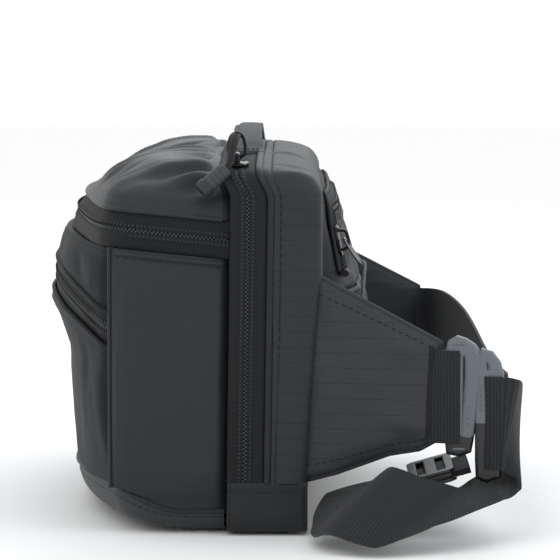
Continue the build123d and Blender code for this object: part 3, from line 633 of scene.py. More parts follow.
def mirrored(half):
    """The far half of an outline whose near half ends on the middle line."""
    return [(-x, z) for x, z in reversed(half[:-1])]


def arch_path():
    """Outline of the rear compartment in X and Z, from the near foot over the crown to the far foot."""
    side = [(HALF_WIDTH, z) for z in np.linspace(FOOT_Z, CORNER_Z, 60)]
    corner = [
        (HALF_WIDTH - CORNER_R + CORNER_R * math.cos(a), CORNER_Z + CORNER_R * math.sin(a))
        for a in np.linspace(0, math.pi / 2 - 0.083, 14)[1:]
    ]
    half = side + corner + [(x, crown(x)) for x in np.linspace(117, 0, 50)]
    return np.array(half + mirrored(half))


def upright(flat):
    """Points in X and Z as points in space, at Y = 0."""
    return np.stack([flat[:, 0], np.zeros(len(flat)), flat[:, 1]], axis=1)


ARCH = upright(resample(arch_path(), 321))
ARCH_TANGENT = unit(np.gradient(ARCH, axis=0))
ARCH_OUT = np.stack([ARCH_TANGENT[:, 2], np.zeros(len(ARCH)), -ARCH_TANGENT[:, 0]], axis=1)


def arch_line(y, off):
    """One line over the arch, moved outwards along ARCH_OUT."""
    return ARCH + ARCH_OUT * off + np.array([0.0, y, 0.0])


def pushed_out(points, by):
    """Rows over the arch moved outwards, each point by its own amount."""
    return points + ARCH_OUT[:, None, :] * by[..., None]


def arch_surface(profile):
    """Points over the arch for a profile of (depth, offset outwards)."""
    return np.stack([arch_line(y, off) for y, off in profile], axis=1)


# Outlines of the front compartment, one row for each height:
# height, half the width, depth of the corner and depth of the middle.
BAND = [(110, 125.0, -68.0, -90.0), (128, 125.0, -67.5, -91.0), (150, 123.5, -63.0, -79.0)]
BASE = [(0, 112.0, -48.0, -76.0), (4, 120.0, -56.0, -83.0), (14, 125.0, -62.0, -88.0), (40, 125.5, -64.0, -88.5)]
TUB = [(1.8, 110.0, -46.0, -74.0), (5.8, 118.0, -54.0, -81.0), (15, 122.6, -60.0, -86.0), (118, 121.6, -61.0, -84.0)]
# The front skin: height, depth of its corner and depth of its middle.
SKIN = [
    (15, -66.0, -88.5), (40, -68.0, -89.5), (72, -69.0, -91.0), (86, -70.0, -96.5), (93, -70.0, -100.5),
    (114, -69.5, -97.5), (134, -67.5, -91.0),
]
SKIN_HALF, SKIN_COUNT = 121.5, 81
HOOP_RADIUS, HOOP_COUNT = 16.0, 181
MAIN_REAR_Y = -15.3
ZIP_Z, ZIP_SLOPE = 119.0, 0.1
POCKET_Z, POCKET_Y, POCKET_SLOPE = 80.0, -68.5, 0.6


def level(levels, z):
    table = np.array(levels, float)
    return [float(np.interp(z, table[:, 0], table[:, k])) for k in range(1, table.shape[1])]


def hoop(levels, z, rear_y, off=0.0):
    """Plan outline of the front compartment at a height, from its near rear edge round to its far one."""
    half, corner, middle = level(levels, z)
    half, corner, middle = half + off, corner - off, middle - off
    bow = (half * half + (corner - middle) ** 2) / (2 * (corner - middle))
    centre = middle + bow
    inner = bow - HOOP_RADIUS
    cx = half - HOOP_RADIUS
    cy = centre - math.sqrt(max(inner * inner - cx * cx, 0))
    turn = math.atan2(cx, centre - cy)
    points = [(half, y) for y in np.linspace(rear_y, cy, 24)]
    for a in np.linspace(0, math.pi / 2 - turn, 20)[1:]:
        points.append((cx + HOOP_RADIUS * math.cos(a), cy - HOOP_RADIUS * math.sin(a)))
    points += [(bow * math.sin(a), centre - bow * math.cos(a)) for a in np.linspace(turn, 0, 50)[1:]]
    return resample(np.array(points + mirrored(points)), HOOP_COUNT)


def slanted_hoop(height, rear_y=MAIN_REAR_Y):
    """A hoop whose height rises towards the front as the lid zip does."""
    steps = np.linspace(height - 1.0, height + 11.0, 7)
    stack = np.array([hoop(BAND, z, rear_y) for z in steps])
    rows = np.arange(HOOP_COUNT)
    z = np.full(HOOP_COUNT, height + 4.0)
    for _ in range(4):
        step = np.clip((z - steps[0]) / (steps[1] - steps[0]), 0, len(steps) - 1.001)
        low = step.astype(int)
        part = (step - low)[:, None]
        flat = stack[low, rows] * (1 - part) + stack[low + 1, rows] * part
        z = height + ZIP_SLOPE * (MAIN_REAR_Y - flat[:, 1])
    return np.concatenate([flat, z[:, None]], axis=1)


def outward(path):
    """Level direction away from the pack along a path that starts on the near side."""
    tangent = np.gradient(path, axis=0)
    return unit(np.stack([-tangent[:, 1], tangent[:, 0], np.zeros(len(path))], axis=1))


def skin_y(x, z):
    """Depth of the front skin at a place across and a height."""
    corner, middle = level(SKIN, z)
    drop = corner - middle
    bow = (SKIN_HALF**2 + drop**2) / (2 * drop)
    return middle + bow - math.sqrt(bow**2 - x * x)


def skin_row(height, half=SKIN_HALF):
    """A row across the front skin, at a height above the pocket zip's lower edge."""
    row = []
    for x in np.linspace(half, -half, SKIN_COUNT):
        z = POCKET_Z + height
        for _ in range(6):
            y = skin_y(x, z)
            z = POCKET_Z + height + POCKET_SLOPE * (POCKET_Y - y)
        row.append((x, y, z))
    return np.array(row)


# Profile of a zip half from the slit to its sewn edge: distance, and height of the coil's ridge.
ZIP_RIDGE = [(0.5, -0.9), (0.55, 0.0), (0.9, 0.5), (1.5, 0.72), (2.4, 0.62), (3.1, 0.25), (3.6, 0.0)]
ZIP_PITCH = 1.75


def zip_chain(piece, path, out, across, phase):
    """One half of a reverse-coil zip chain: the coil's tips in the slit and the sewing over the coil.

    across points from the slit into this half; the two halves' phases are half a pitch apart."""
    across = np.broadcast_to(np.asarray(across, float), path.shape)
    run = lengths(path)
    for s in np.arange(ZIP_PITCH * (0.5 + phase), run[-1] - 0.5, ZIP_PITCH):
        centre = between(s, run, path)
        normal = unit(between(s, run, out))
        sideways = between(s, run, across)
        sideways = unit(sideways - normal * sideways.dot(normal))
        along = np.cross(sideways, normal)
        piece.bead(centre + sideways * 0.55 - normal * 0.1, sideways, normal, 1.5, 0.5, MAT["coil"])
        piece.bead(centre + sideways * 2.3 + normal * 0.55, along, normal, 1.25, 0.5, MAT["chain_thread"])
        piece.bead(centre + sideways * 1.45 + normal * 0.6, sideways, normal, 1.5, 0.3, MAT["tape"])


# ---------------------------------------------------------------- rear compartment

SLIT_Y, TAPE_LEVEL, TAPE_THICK = -7.6, -0.2, 1.1
HEM_Y, SHELL_DEPTH = 3.5, 24.3
FOOT_FRONT_Y, FOOT_REAR_Y = -15.0, 17.9


def rear_edge(z):
    """How far back the side of the rear compartment reaches at a height."""
    return np.interp(z, [22, 60, 112, 148, 158], [17.3, 19.6, SHELL_DEPTH, SHELL_DEPTH, 20.8])


def make_rear_zip():
    front = [(-15.2, -10.5), (-15.3, -6.0), (-15.0, -2.2), (-14.9, -0.7), (-14.3, 0.2), (-13.4, 0.35), (-12.4, 0.0)]
    rear = [(-2.6, 0.0), (-1.2, 0.2), (0.2, 0.1), (1.0, -0.8)]
    path = arch_line(SLIT_Y, TAPE_LEVEL)
    for name, side, body, phase in (("front", -1, "main_body", 0.0), ("rear", 1, "rear_body", 0.5)):
        ridge = [(SLIT_Y + side * d, TAPE_LEVEL + h) for d, h in ZIP_RIDGE]
        points = arch_surface(front + ridge[::-1] if side < 0 else ridge + rear)
        piece = Piece(f"rear_zip_{name}", settled=True)
        points = pushed_out(points, wobble(points, 0.35, 26.0, 3.0))
        piece.shell(points, TAPE_THICK, MAT["tape"], away=(0, -7, 60))
        zip_chain(piece, path, ARCH_OUT, (0, side, 0), phase)
        if side < 0:
            piece.stitches(arch_line(-13.2, 0.28), ARCH_OUT, pitch=3.0, length=2.0, radius=0.25)
        piece.make(body, (f"rear_zip_{name}_tape", f"rear_zip_{name}_coil"))


def make_rear_shell():
    """The hem behind the zip, the shell over the arch and the wall against the wearer."""
    hem = Piece("rear_hem", settled=True)
    hem.tube(arch_line(2.3, 0.15), 1.45, MAT["piping"], sides=10, squash=0.85)
    hem.make("rear_body", ("rear_piping",))

    profile = [
        (3.5, -0.8), (3.6, 0.4), (4.4, 0.85), (5.6, 0.75), (6.6, 0.25), (7.4, 0.75), (9.5, 1.15), (13.0, 1.35),
        (17.0, 1.25), (20.0, 0.95), (22.2, 0.3), (23.5, -1.1), (24.2, -3.2), (24.3, -7.0), (23.6, -11.5),
        (21.0, -15.5),
    ]
    points = arch_surface(profile)
    points = pushed_out(points, wobble(points, 0.55, 34.0, 9.0) * smoothstep(points[..., 1], 7, 12))
    on_crown = np.clip(ARCH_OUT[:, 2], 0, 1)[:, None]
    points = pushed_out(points, -3.2 * on_crown * smoothstep(points[..., 1], 5, 24))
    depth = (rear_edge(points[..., 2]) - HEM_Y) / (SHELL_DEPTH - HEM_Y)
    points[..., 1] = HEM_Y + (points[..., 1] - HEM_Y) * depth
    folds = [
        ((131, 23, 138), (131, 9, 152)), ((131, 22, 128), (131, 14, 140)), ((128, 5, 154), (122, 21, 156)),
        ((112, 6, 161), (108, 20, 159)), ((60, 5, 163), (66, 19, 161)), ((-131, 22, 150), (-131, 12, 133)),
    ]
    points = pushed_out(points, creases(points, folds, 1.3, 3.2))
    shell = Piece("rear_shell_cloth", settled=True)
    shell.shell(points, 1.3, MAT["rear"], inner=MAT["lining"], away=(0, 10, 60), turn=True)
    shell.stitches(arch_line(6.6, 0.45), ARCH_OUT, pitch=3.6, length=2.6, radius=0.36)
    wall_foot, wall_top = 22.6, 149.5
    wall = []
    for t in np.linspace(0, 1, 24):
        line = []
        for x in np.linspace(-117, 117, 41):
            z = wall_foot + t * (crown(x, wall_top) - wall_foot)
            line.append((x, min(rear_edge(z) - 4.0, 19.6), z))
        wall.append(line)
    shell.shell(np.array(wall), 1.6, MAT["back"], inner=MAT["lining"], away=(0, 0, 80))
    shell.make("rear_body", ("rear_shell",))


def make_foot():
    """The two corner patches that hold the rear compartment's foot, and the base between them."""
    profile = [
        (128.9, 22.6), (130.6, 22.9), (131.8, 22.3), (132.0, 21.0), (131.5, 19.6), (131.2, 17.5), (131.3, 11.0),
        (131.2, 6.0), (130.3, 2.7), (127.8, 0.75), (123.0, 0.25), (112.0, 0.15), (98.0, 0.12), (86.6, 0.12),
    ]
    for side, name in ((1, "near"), (-1, "far")):
        rows = []
        for y in np.linspace(FOOT_FRONT_Y, FOOT_REAR_Y, 22):
            end = max(0.0, 1 - min(y - FOOT_FRONT_Y, FOOT_REAR_Y - y) / 1.8) ** 2
            rows.append([(side * (x - 1.3 * end), y, z + 0.5 * end * (z < 1)) for x, z in profile])
        patch = Piece(f"corner_patch_{name}_cloth", settled=True)
        patch.shell(np.array(rows), 1.7, MAT["patch"], away=(side * 100, 1, 40))
        for y in (-14.6, 17.5):
            cap = [
                [(side * (x + (87 - x) * t), y, z + (21.2 - z) * t) for t in np.linspace(0, 0.97, 12)]
                for x, z in profile
            ]
            patch.shell(np.array(cap), 0.8, MAT["patch"], away=(side * 110, 1, 12))
        row = np.array([(side * 131.25, y, 18.3) for y in np.linspace(-14.0, 17.0, 20)])
        patch.stitches(row, (side, 0, 0), pitch=2.9, length=2.0)
        patch.make("main_body", (f"corner_patch_{name}",))
    section_top = 19.4
    section = [
        (-14.0, section_top), (-14.1, 8.0), (-13.2, 2.6), (-10.0, 0.5), (0.0, 0.15), (11.0, 0.4), (14.8, 2.6),
        (16.3, 9.0), (16.4, section_top),
    ]
    rows = []
    for x in np.linspace(-127.5, 127.5, 61):
        lift = 2.3 * float(smoothstep(abs(x), 84.5, 86.5))
        rows.append([(x, y, z + lift * (1 - z / section_top)) for y, z in section])
    base = Piece("rear_base_cloth", settled=True)
    base.shell(np.array(rows), 1.4, MAT["base"], away=(0, 1, 15))
    base.make("main_body", ("rear_base_panel",))


# ---------------------------------------------------------------- front compartment

def bulged(path, off=0.0):
    """A row round the lid zip moved outwards by off, and a little more on the near side."""
    proud = 2.0 * smoothstep(path[:, 0], 60, 118) + 0.2
    return path + outward(path) * (proud + off)[:, None]


def make_lid_zip():
    slit = 8.3
    path = slanted_hoop(ZIP_Z + slit)
    for name, side, body, phase in (("lower", -1, "main_body", 0.0), ("upper", 1, "lid", 0.5)):
        heights = [(slit + side * d, h) for d, h in ZIP_RIDGE]
        heights += [(slit + side * 5.4, -0.15), (slit + side * 7.0, -0.1), (slit + side * 8.2, -0.6)]
        points = np.stack([bulged(slanted_hoop(ZIP_Z + height), off) for height, off in heights], axis=1)
        points = points + grid_normals(points) * wobble(points, 0.3, 22.0, 5.0)[..., None]
        piece = Piece(f"lid_zip_{name}", settled=True)
        piece.shell(points, TAPE_THICK, MAT["tape"])
        zip_chain(piece, bulged(path), outward(path), (0, 0, side), phase)
        piece.make(body, (f"main_zip_{name}_tape", f"main_zip_{name}_coil"))


def lid_surface():
    """The domed lid: rows from its rim to a line along the middle of its rear edge."""
    rim = bulged(slanted_hoop(ZIP_Z + 16.9, rear_y=-18.6), 0.9)
    count = len(rim)
    t = np.linspace(0, 1, count)
    end_half = 62
    x = end_half * (1 - 2 * t)
    end = np.stack([x, np.full(count, -18.4), 163.6 - 1.6 * (x / end_half) ** 2], axis=1)
    power = 2.1 - 0.95 * bulge_at(t, 0.5, 0.2)
    rows = []
    for q in np.linspace(0, 1, 34):
        flat = rim * (1 - q) + end * q
        dome = (1 - (1 - q) ** power) ** (1 / power)
        flat[:, 2] = rim[:, 2] + (end[:, 2] - rim[:, 2]) * dome
        flat[:, 2] -= 3.6 * smoothstep(q, 0.8, 1.0)
        flat[:, 2] += 1.4 * math.sin(math.pi * min(q * 1.02, 1)) ** 2 * smoothstep(-flat[:, 1], 22, 40)
        rows.append(flat)
    return np.stack(rows, axis=1)


# Folds that fan out from the rear corner of the lid, on its near half.
LID_FOLDS = [
    ((106, -21, 158), (122, -52, 143)),
    ((100, -20, 160), (117, -64, 147)),
    ((92, -20, 161), (104, -73, 149)),
    ((82, -20, 162), (92, -76, 149)),
    ((72, -20, 163), (74, -80, 150)),
    ((120, -24, 146), (124, -58, 142)),
    ((96, -20, 160.5), (111, -69, 148)),
    ((114, -22, 153), (123, -42, 146)),
    ((64, -20, 163), (58, -78, 151)),
    ((50, -22, 164), (48, -72, 154)),
    ((24, -26, 164), (14, -70, 156)),
]


def make_lid():
    """The lid's cloth, the welt along its rim and the flange that closes its rear edge."""
    points = lid_surface()
    normal = grid_normals(points)
    if normal[90, 20, 2] < 0:
        normal = -normal
    lift = creases(points, both_ways(LID_FOLDS), 3.4, 3.0)
    lift = lift + wobble(points, 2.0, 24.0, 2.0) + wobble(points, 0.5, 9.0, 7.0)
    off_rim = smoothstep(np.linspace(0, 1, points.shape[1]), 0.0, 0.16)[None, :]
    off_rear = smoothstep(-points[..., 1], 18.5, 24)
    points = points + normal * (lift * off_rim * off_rear)[..., None]
    lid = Piece("lid_cloth", settled=True)
    lid.shell(points, 1.6, MAT["lid"], inner=MAT["lining"], away=(0, -40, 100))
    rim = points[:, 0]
    lid.tube(rim + outward(rim) * -0.3, 1.0, MAT["lid"])
    edge = np.concatenate([points[0], points[1:, -1], points[-1, -2::-1]])
    inward = np.array([0.0, -40.0, 100.0]) - edge
    inward[:, 1] = 0
    inward = unit(inward)
    flange = [
        edge + inward * drop + np.array([0.0, back, 0.0])
        for drop, back in ((0.0, -0.2), (0.5, 2.0), (1.6, 3.6), (4.0, 4.2))
    ]
    lid.shell(np.stack(flange, axis=1), 1.2, MAT["lid"], away=(0, -16, 100))
    lid.make("lid", ("lid_panel",))


# How full the side panels are along their depth (0 to 1) and at each height.
SIDE_ALONG = (
    [0, 0.02, 0.05, 0.1, 0.2, 0.5, 0.76, 0.88, 0.95, 0.985, 1],
    [0.1, 0.42, 0.66, 0.84, 0.97, 1, 0.97, 0.84, 0.6, 0.34, 0.1],
)
SIDE_UP = ([11, 16, 24, 40, 80, 104, 113, 117, 119, 121.5], [0.3, 0.62, 0.88, 0.98, 1, 0.98, 0.9, 0.74, 0.56, 0.4])
SIDE_FOLDS = [
    ((131, -19.5, 112), (131, -20.5, 22)),
    ((131, -24, 116), (131, -23, 84)),
    ((131, -60, 112), (131, -63.5, 74)),
    ((131, -57, 116), (131, -48, 96)),
    ((131, -24, 30), (131, -44, 12)),
]


def make_sides():
    side_depth, side_x, side_bulge = 52.0, 123.4, 7.8
    for side, name in ((1, "near"), (-1, "far")):
        rows = []
        for t in np.linspace(0, 1, 56):
            y = MAIN_REAR_Y - 0.2 - side_depth * t
            top = ZIP_Z + ZIP_SLOPE * (MAIN_REAR_Y - y) - 0.1
            foot = 8.6 + 11.0 * smoothstep(t, 0.35, 1.0)
            column = []
            for z in np.linspace(foot, top, 48):
                reach = np.interp(t, *SIDE_ALONG) * np.interp(z + ZIP_Z - top, *SIDE_UP)
                column.append((side * (side_x + side_bulge * reach), y, z))
            rows.append(column)
        points = np.array(rows)
        folds = [tuple((side * x, y, z) for x, y, z in line) for line in SIDE_FOLDS]
        lift = creases(points, folds, 0.7, 3.0)
        lift = lift + wobble(points, 1.0, 42.0, 11.0 + side) + wobble(points, 0.25, 11.0, 3.0)
        points[..., 0] += side * lift * smoothstep(points[..., 0] * side, 124.5, 129)
        panel = Piece(f"side_panel_{name}_cloth", settled=True)
        panel.shell(points, 2.2, MAT["side"], away=(0, -40, 70))
        seam = points[1:-1, 46] + np.array([side * 0.3, 0, -1.6])
        panel.stitches(seam, (side * 0.9, 0.0, 0.3), pitch=3.6, length=2.5, radius=0.36)
        panel.tube(points[3:-2, 46] + np.array([side * 0.2, 0, 0.4]), 1.1, MAT["side"])
        panel.tube(points[-1] + np.array([side * 0.5, -0.2, 0.0]), 0.9, MAT["side"])
        panel.make("main_body", (f"side_panel_{name}",))


def skin_strip(low, high, count, bulge):
    """A strip of the front skin between two rows, a little wider than they are."""
    rows = []
    for t in np.linspace(0, 1, count):
        z = low[:, 2] * (1 - t) + high[:, 2] * t
        xs = low[:, 0]
        y = np.array([skin_y(np.clip(x, -SKIN_HALF + 0.1, SKIN_HALF - 0.1), zi) for x, zi in zip(xs, z)])
        tuck = 2.6 * smoothstep(np.abs(xs), 117.5, SKIN_HALF)
        rows.append(np.stack([xs * 124.4 / SKIN_HALF, y + tuck - bulge * math.sin(math.pi * t), z], axis=1))
    return np.stack(rows, axis=1)


def tucked_row(height):
    """A row of the pocket zip, its ends under the corner seams."""
    half = 124.0
    row = skin_row(height, half)
    row[:, 1] += 2.4 * smoothstep(np.abs(row[:, 0]), 118.0, half)
    return row


def make_pocket_panel():
    across = np.linspace(SKIN_HALF, -SKIN_HALF, SKIN_COUNT)
    foot = np.array([(x, skin_y(x, 16.0), 21.5 - 3.5 * np.cos(x / SKIN_HALF * math.pi / 2)) for x in across])
    points = skin_strip(foot, skin_row(-0.3), 34, bulge=1.6)
    folds = [
        ((110, -70, 84), (116, -68, 40)), ((92, -84, 92), (104, -78, 60)), ((-104, -74, 86), (-112, -70, 45)),
        ((20, -98, 34), (60, -92, 24)), ((-30, -98, 40), (-70, -88, 24)),
    ]
    lift = wobble(points, 1.6, 38.0, 21.0) + wobble(points, 0.4, 12.0, 4.0) + creases(points, folds, 1.2, 5.0)
    points[..., 1] -= lift * np.sin(np.linspace(0, math.pi, points.shape[1]))[None, :] ** 0.6
    panel = Piece("front_pocket_cloth")
    panel.shell(points, 1.6, MAT["body"])
    panel.stitches(points[:, -4], outward(points[:, -4]))
    panel.tube(points[:, -1] + outward(points[:, -1]) * -0.2, 1.2, MAT["body"])
    panel.make("main_body", ("front_pocket_panel",))


def make_pocket_zip():
    slit = 7.5
    path = tucked_row(slit)
    out = outward(path)
    band = Piece("front_zip")
    for side, phase in ((-1, 0.0), (1, 0.5)):
        heights = [(slit + side * d, h - 0.2) for d, h in ZIP_RIDGE]
        heights += [(slit + side * 5.0, -0.5), (slit + side * 7.3, -0.9)]
        rows = [tucked_row(height) for height, _ in heights]
        rows = [row + outward(row) * (off - 0.4) for row, (_, off) in zip(rows, heights)]
        band.shell(np.stack(rows, axis=1), 1.0, MAT["tape"])
        zip_chain(band, path - out * 0.6, out, (0, 0, side), phase)
    band.make("main_body", ("front_zip_lower_tape", "front_zip_coil", "front_zip_upper_tape"))


def make_yoke():
    """The strip between the pocket zip and the lid zip, its upper edge tucked in behind the lid zip."""
    low = skin_row(15.3)
    top_z = [ZIP_Z - 0.4 + ZIP_SLOPE * (MAIN_REAR_Y - skin_y(x, 124)) for x in low[:, 0]]
    top = np.stack([low[:, 0], low[:, 1], top_z], axis=1)
    points = skin_strip(low, top, 16, bulge=0.8)
    folds = [
        ((112, -72, 116), (104, -76, 100)), ((88, -84, 120), (96, -80, 104)), ((-96, -80, 118), (-104, -76, 100)),
        ((30, -92, 124), (10, -96, 112)),
    ]
    lift = wobble(points, 1.4, 30.0, 14.0) + creases(points, folds, 1.3, 4.0)
    points[..., 1] -= lift * np.sin(np.linspace(0, math.pi, points.shape[1]))[None, :]
    tucked = points[:, -1] - outward(points[:, -1]) * 4.0
    points = np.concatenate([points, tucked[:, None, :]], axis=1)
    yoke = Piece("front_yoke_cloth")
    yoke.shell(points, 1.6, MAT["body"])
    yoke.tube(points[:, 0] + outward(points[:, 0]) * 0.1, 1.2, MAT["body"])
    for column in (3, -4):
        yoke.stitches(points[:, column], outward(points[:, column]))
    yoke.make("main_body", ("front_yoke",))


def make_base():
    """The base fabric: a quarter-round skirt up to its seam, then the flat under the pack."""
    skirt_share, floor_z = 0.62, 0.3
    plan = hoop(BASE, 14.0, MAIN_REAR_Y - 1.0, 0.6)
    from_end = 1 - np.abs(np.linspace(-1, 1, len(plan)))
    top = 9.0 + 12.0 * smoothstep(from_end, 0.12, 0.34) - 3.0 * smoothstep(from_end, 0.4, 1.0)
    to_front = smoothstep(-plan[:, 1], 25, 70)
    rows = []
    for q in np.linspace(0, 1, 30):
        if q < skirt_share:
            angle = q / skirt_share * math.pi / 2
            drop = 1 - math.cos(angle)
            y = plan[:, 1] + 12.0 * drop * to_front
            z = top * (1 - math.sin(angle)) + floor_z + 4.5 * drop * smoothstep(-plan[:, 1], 34, 80)
            skirt = np.stack([plan[:, 0] * (1 - 0.085 * drop), y, z], axis=1)
            rows.append(skirt)
        else:
            part = (q - skirt_share) / (1 - skirt_share)
            end = np.stack([skirt[:, 0] * 0.3, np.full(len(skirt), -18.0), np.full(len(skirt), floor_z)], axis=1)
            row = skirt * (1 - part) + end * part
            row[:, 2] = floor_z + (skirt[:, 2] - floor_z) * (1 - part) ** 1.5
            rows.append(row)
    points = np.stack(rows, axis=1)
    base = Piece("base_cloth", settled=True)
    base.shell(points, 1.4, MAT["base"], away=(0, -45, 30))
    base.tube(rows[0], 1.3, MAT["piping"])
    base.stitches(points[:, 3], outward(points[:, 3]), radius=0.28)
    base.make("main_body", ("base_panel",))


def at_height(plan, z):
    """A plan outline as a level path."""
    return np.concatenate([plan, np.full((len(plan), 1), float(z))], axis=1)


def make_inside():
    """The padded tub with its bound rim, and the divider behind it."""
    low_z, high_z, rear_y = 5, 118, -18.6
    walls = np.stack([at_height(hoop(TUB, z, rear_y, -0.4), z) for z in np.linspace(low_z, high_z, 30)], axis=1)
    channels = np.abs(np.sin(lengths(walls[:, 0])[:, None] / 24.0))
    quilt = 0.5 * channels * np.abs(np.sin((walls[..., 2] - low_z) / 18.0))
    walls = walls - grid_normals(walls) * quilt[..., None] * 0.4
    tub = Piece("tub_lining")
    tub.shell(walls, 3.0, MAT["lining"])
    tub.tube(at_height(hoop(TUB, high_z, -18.9, -1.9), high_z + 0.2), 2.0, MAT["piping"])
    plan = hoop(TUB, 5.5, rear_y, -1.0)
    end = np.stack([plan[:, 0] * 0.3, np.full(len(plan), -19.5)], axis=1)
    floor = [at_height(plan * (1 - q) + end * q, 5.2) for q in np.linspace(0, 1, 10)]
    tub.shell(np.stack(floor, axis=1), 2.6, MAT["lining"], away=(0, -45, 50))
    tub.make("main_body", ("main_tub",))

    half, foot, top = 120.5, 15.5, 151.5
    rows = []
    for t in np.linspace(0, 1, 40):
        line = []
        for x in np.linspace(-half, half, 61):
            z = foot + t * (crown(x, top) - foot)
            edge = min(1.0, (half - abs(x)) / 4, (1 - t) * 30, t * 30)
            tuft = 0.5 * abs(math.sin(x / 19.0)) * abs(math.sin((z - 15) / 17.0))
            line.append((x, -15.7 + (0.5 + tuft) * math.sqrt(max(edge, 0)) * 0.6, z))
        rows.append(line)
    divider = Piece("divider_lining")
    divider.shell(np.array(rows), 2.4, MAT["lining"], away=(0, -30, 80))
    divider.make("main_body", ("centre_panel",))


# ---------------------------------------------------------------- back panel and lumbar pad

def smooth_table(pairs, width):
    """A table of (place, value) as fine steps with its corners rounded."""
    at, values = np.array(pairs, float).T
    step, reach = 0.5, 30
    fine = np.arange(at[0], at[-1] + step, step)
    kernel = bulge_at(np.arange(-reach, reach + 1) * step, 0, width)
    raw = np.pad(np.interp(fine, at, values), reach, mode="edge")
    return fine, np.convolve(raw, kernel / kernel.sum(), mode="valid")


PAD_BACK = smooth_table(
    [(22, 18), (26, 26), (34, 38), (60, 49), (92, 46.5), (112, 39.5), (126, 35), (141, 29), (148, 25), (151, 21)], 3.0
)
PAD_ACROSS = smooth_table([(0, 1.0), (62, 0.95), (100, 0.62), (112, 0.42), (119, 0.2), (122, 0.0)], 4.0)
PAD_X = np.linspace(120.5, -120.5, 121)
PAD_SPLIT = 101.0


def pad_y(x, z):
    """Depth of the wearer's side of the pack."""
    wall = np.where(z > 112, 20.0, 13 + 7 * (z - 22) / 90)
    return wall + (np.interp(z, *PAD_BACK) - wall) * np.interp(np.abs(x), *PAD_ACROSS)


def pad_grid(low, high, rows):
    """Points over the wearer's side between two heights, each one for all places across or one for each."""
    low, high = (np.broadcast_to(z, PAD_X.shape) for z in (low, high))
    heights = [low * (1 - t) + high * t for t in np.linspace(0, 1, rows)]
    return np.stack([np.stack([PAD_X, pad_y(PAD_X, z), z], axis=1) for z in heights], axis=1)


def make_lumbar_pad():
    points = pad_grid(24.0, PAD_SPLIT, 60)
    x, z = np.abs(points[..., 0]), points[..., 2]
    channel = (bulge_at(x, 34, 4.0) + bulge_at(x, 84, 4.0)) * smoothstep(z, 26, 34) * (1 - smoothstep(z, 92, 99))
    across = bulge_at(z, 62, 3.2) * (1 - smoothstep(x, 104, 114))
    seam = bulge_at(z, PAD_SPLIT, 2.6)
    points[..., 1] += wobble(points, 0.9, 24.0, 6.0) - 2.4 * np.maximum(channel, across) - 2.6 * seam
    pad = Piece("lumbar_pad_cloth")
    pad.shell(points, 2.0, MAT["mesh"], away=(0, 0, 60))
    pad.stitches(points[3:-3, 2], (0.0, 1.0, -0.4), radius=0.34)
    pad.tube(points[:, 0] + np.array([0, 0.4, -0.4]), 1.5, MAT["piping"])
    pad.tube(points[:, -1] + np.array([0, 0.8, 0]), 1.3, MAT["piping"])
    pad.make("rear_body", ("lumbar_pad",))


# The back pocket's zip runs up at ZIP_LEG_X, round a corner and across at ZIP_TOP_Z.
ZIP_LEG_X, ZIP_TOP_Z, ZIP_TURN = 98.0, 138.5, 12.5


def make_back_panel():
    points = pad_grid(PAD_SPLIT, crown(PAD_X, 150.5) - 3.5 * smoothstep(np.abs(PAD_X), 104, 121), 44)
    x, z = np.abs(points[..., 0]), points[..., 2]
    from_leg = np.abs(x - ZIP_LEG_X) + 60 * (z > 130)
    from_top = np.abs(z - ZIP_TOP_Z) + 60 * (x > 92)
    off_zip = 1 - 0.85 * bulge_at(np.minimum(from_leg, from_top), 0, 7.0)
    folds = both_ways([
        ((113, 28, 148), (112, 28, 112)),
        ((108, 30, 146), (116, 28, 124)),
        ((80, 34, 134), (60, 40, 112)),
        ((88, 34, 118), (50, 40, 106)),
        ((30, 34, 132), (40, 42, 108)),
    ])
    lift = creases(points, folds, 1.3, 3.6) + wobble(points, 1.4, 20.0, 31.0)
    points[..., 1] += lift * off_zip - 2.6 * bulge_at(z, PAD_SPLIT, 2.6)
    panel = Piece("back_panel_cloth")
    panel.shell(points, 1.8, MAT["back"], away=(0, 0, 100))
    panel.stitches(points[3:-3, 2], (0.0, 1.0, 0.3), radius=0.34)
    panel.make("rear_body", ("back_panel",))


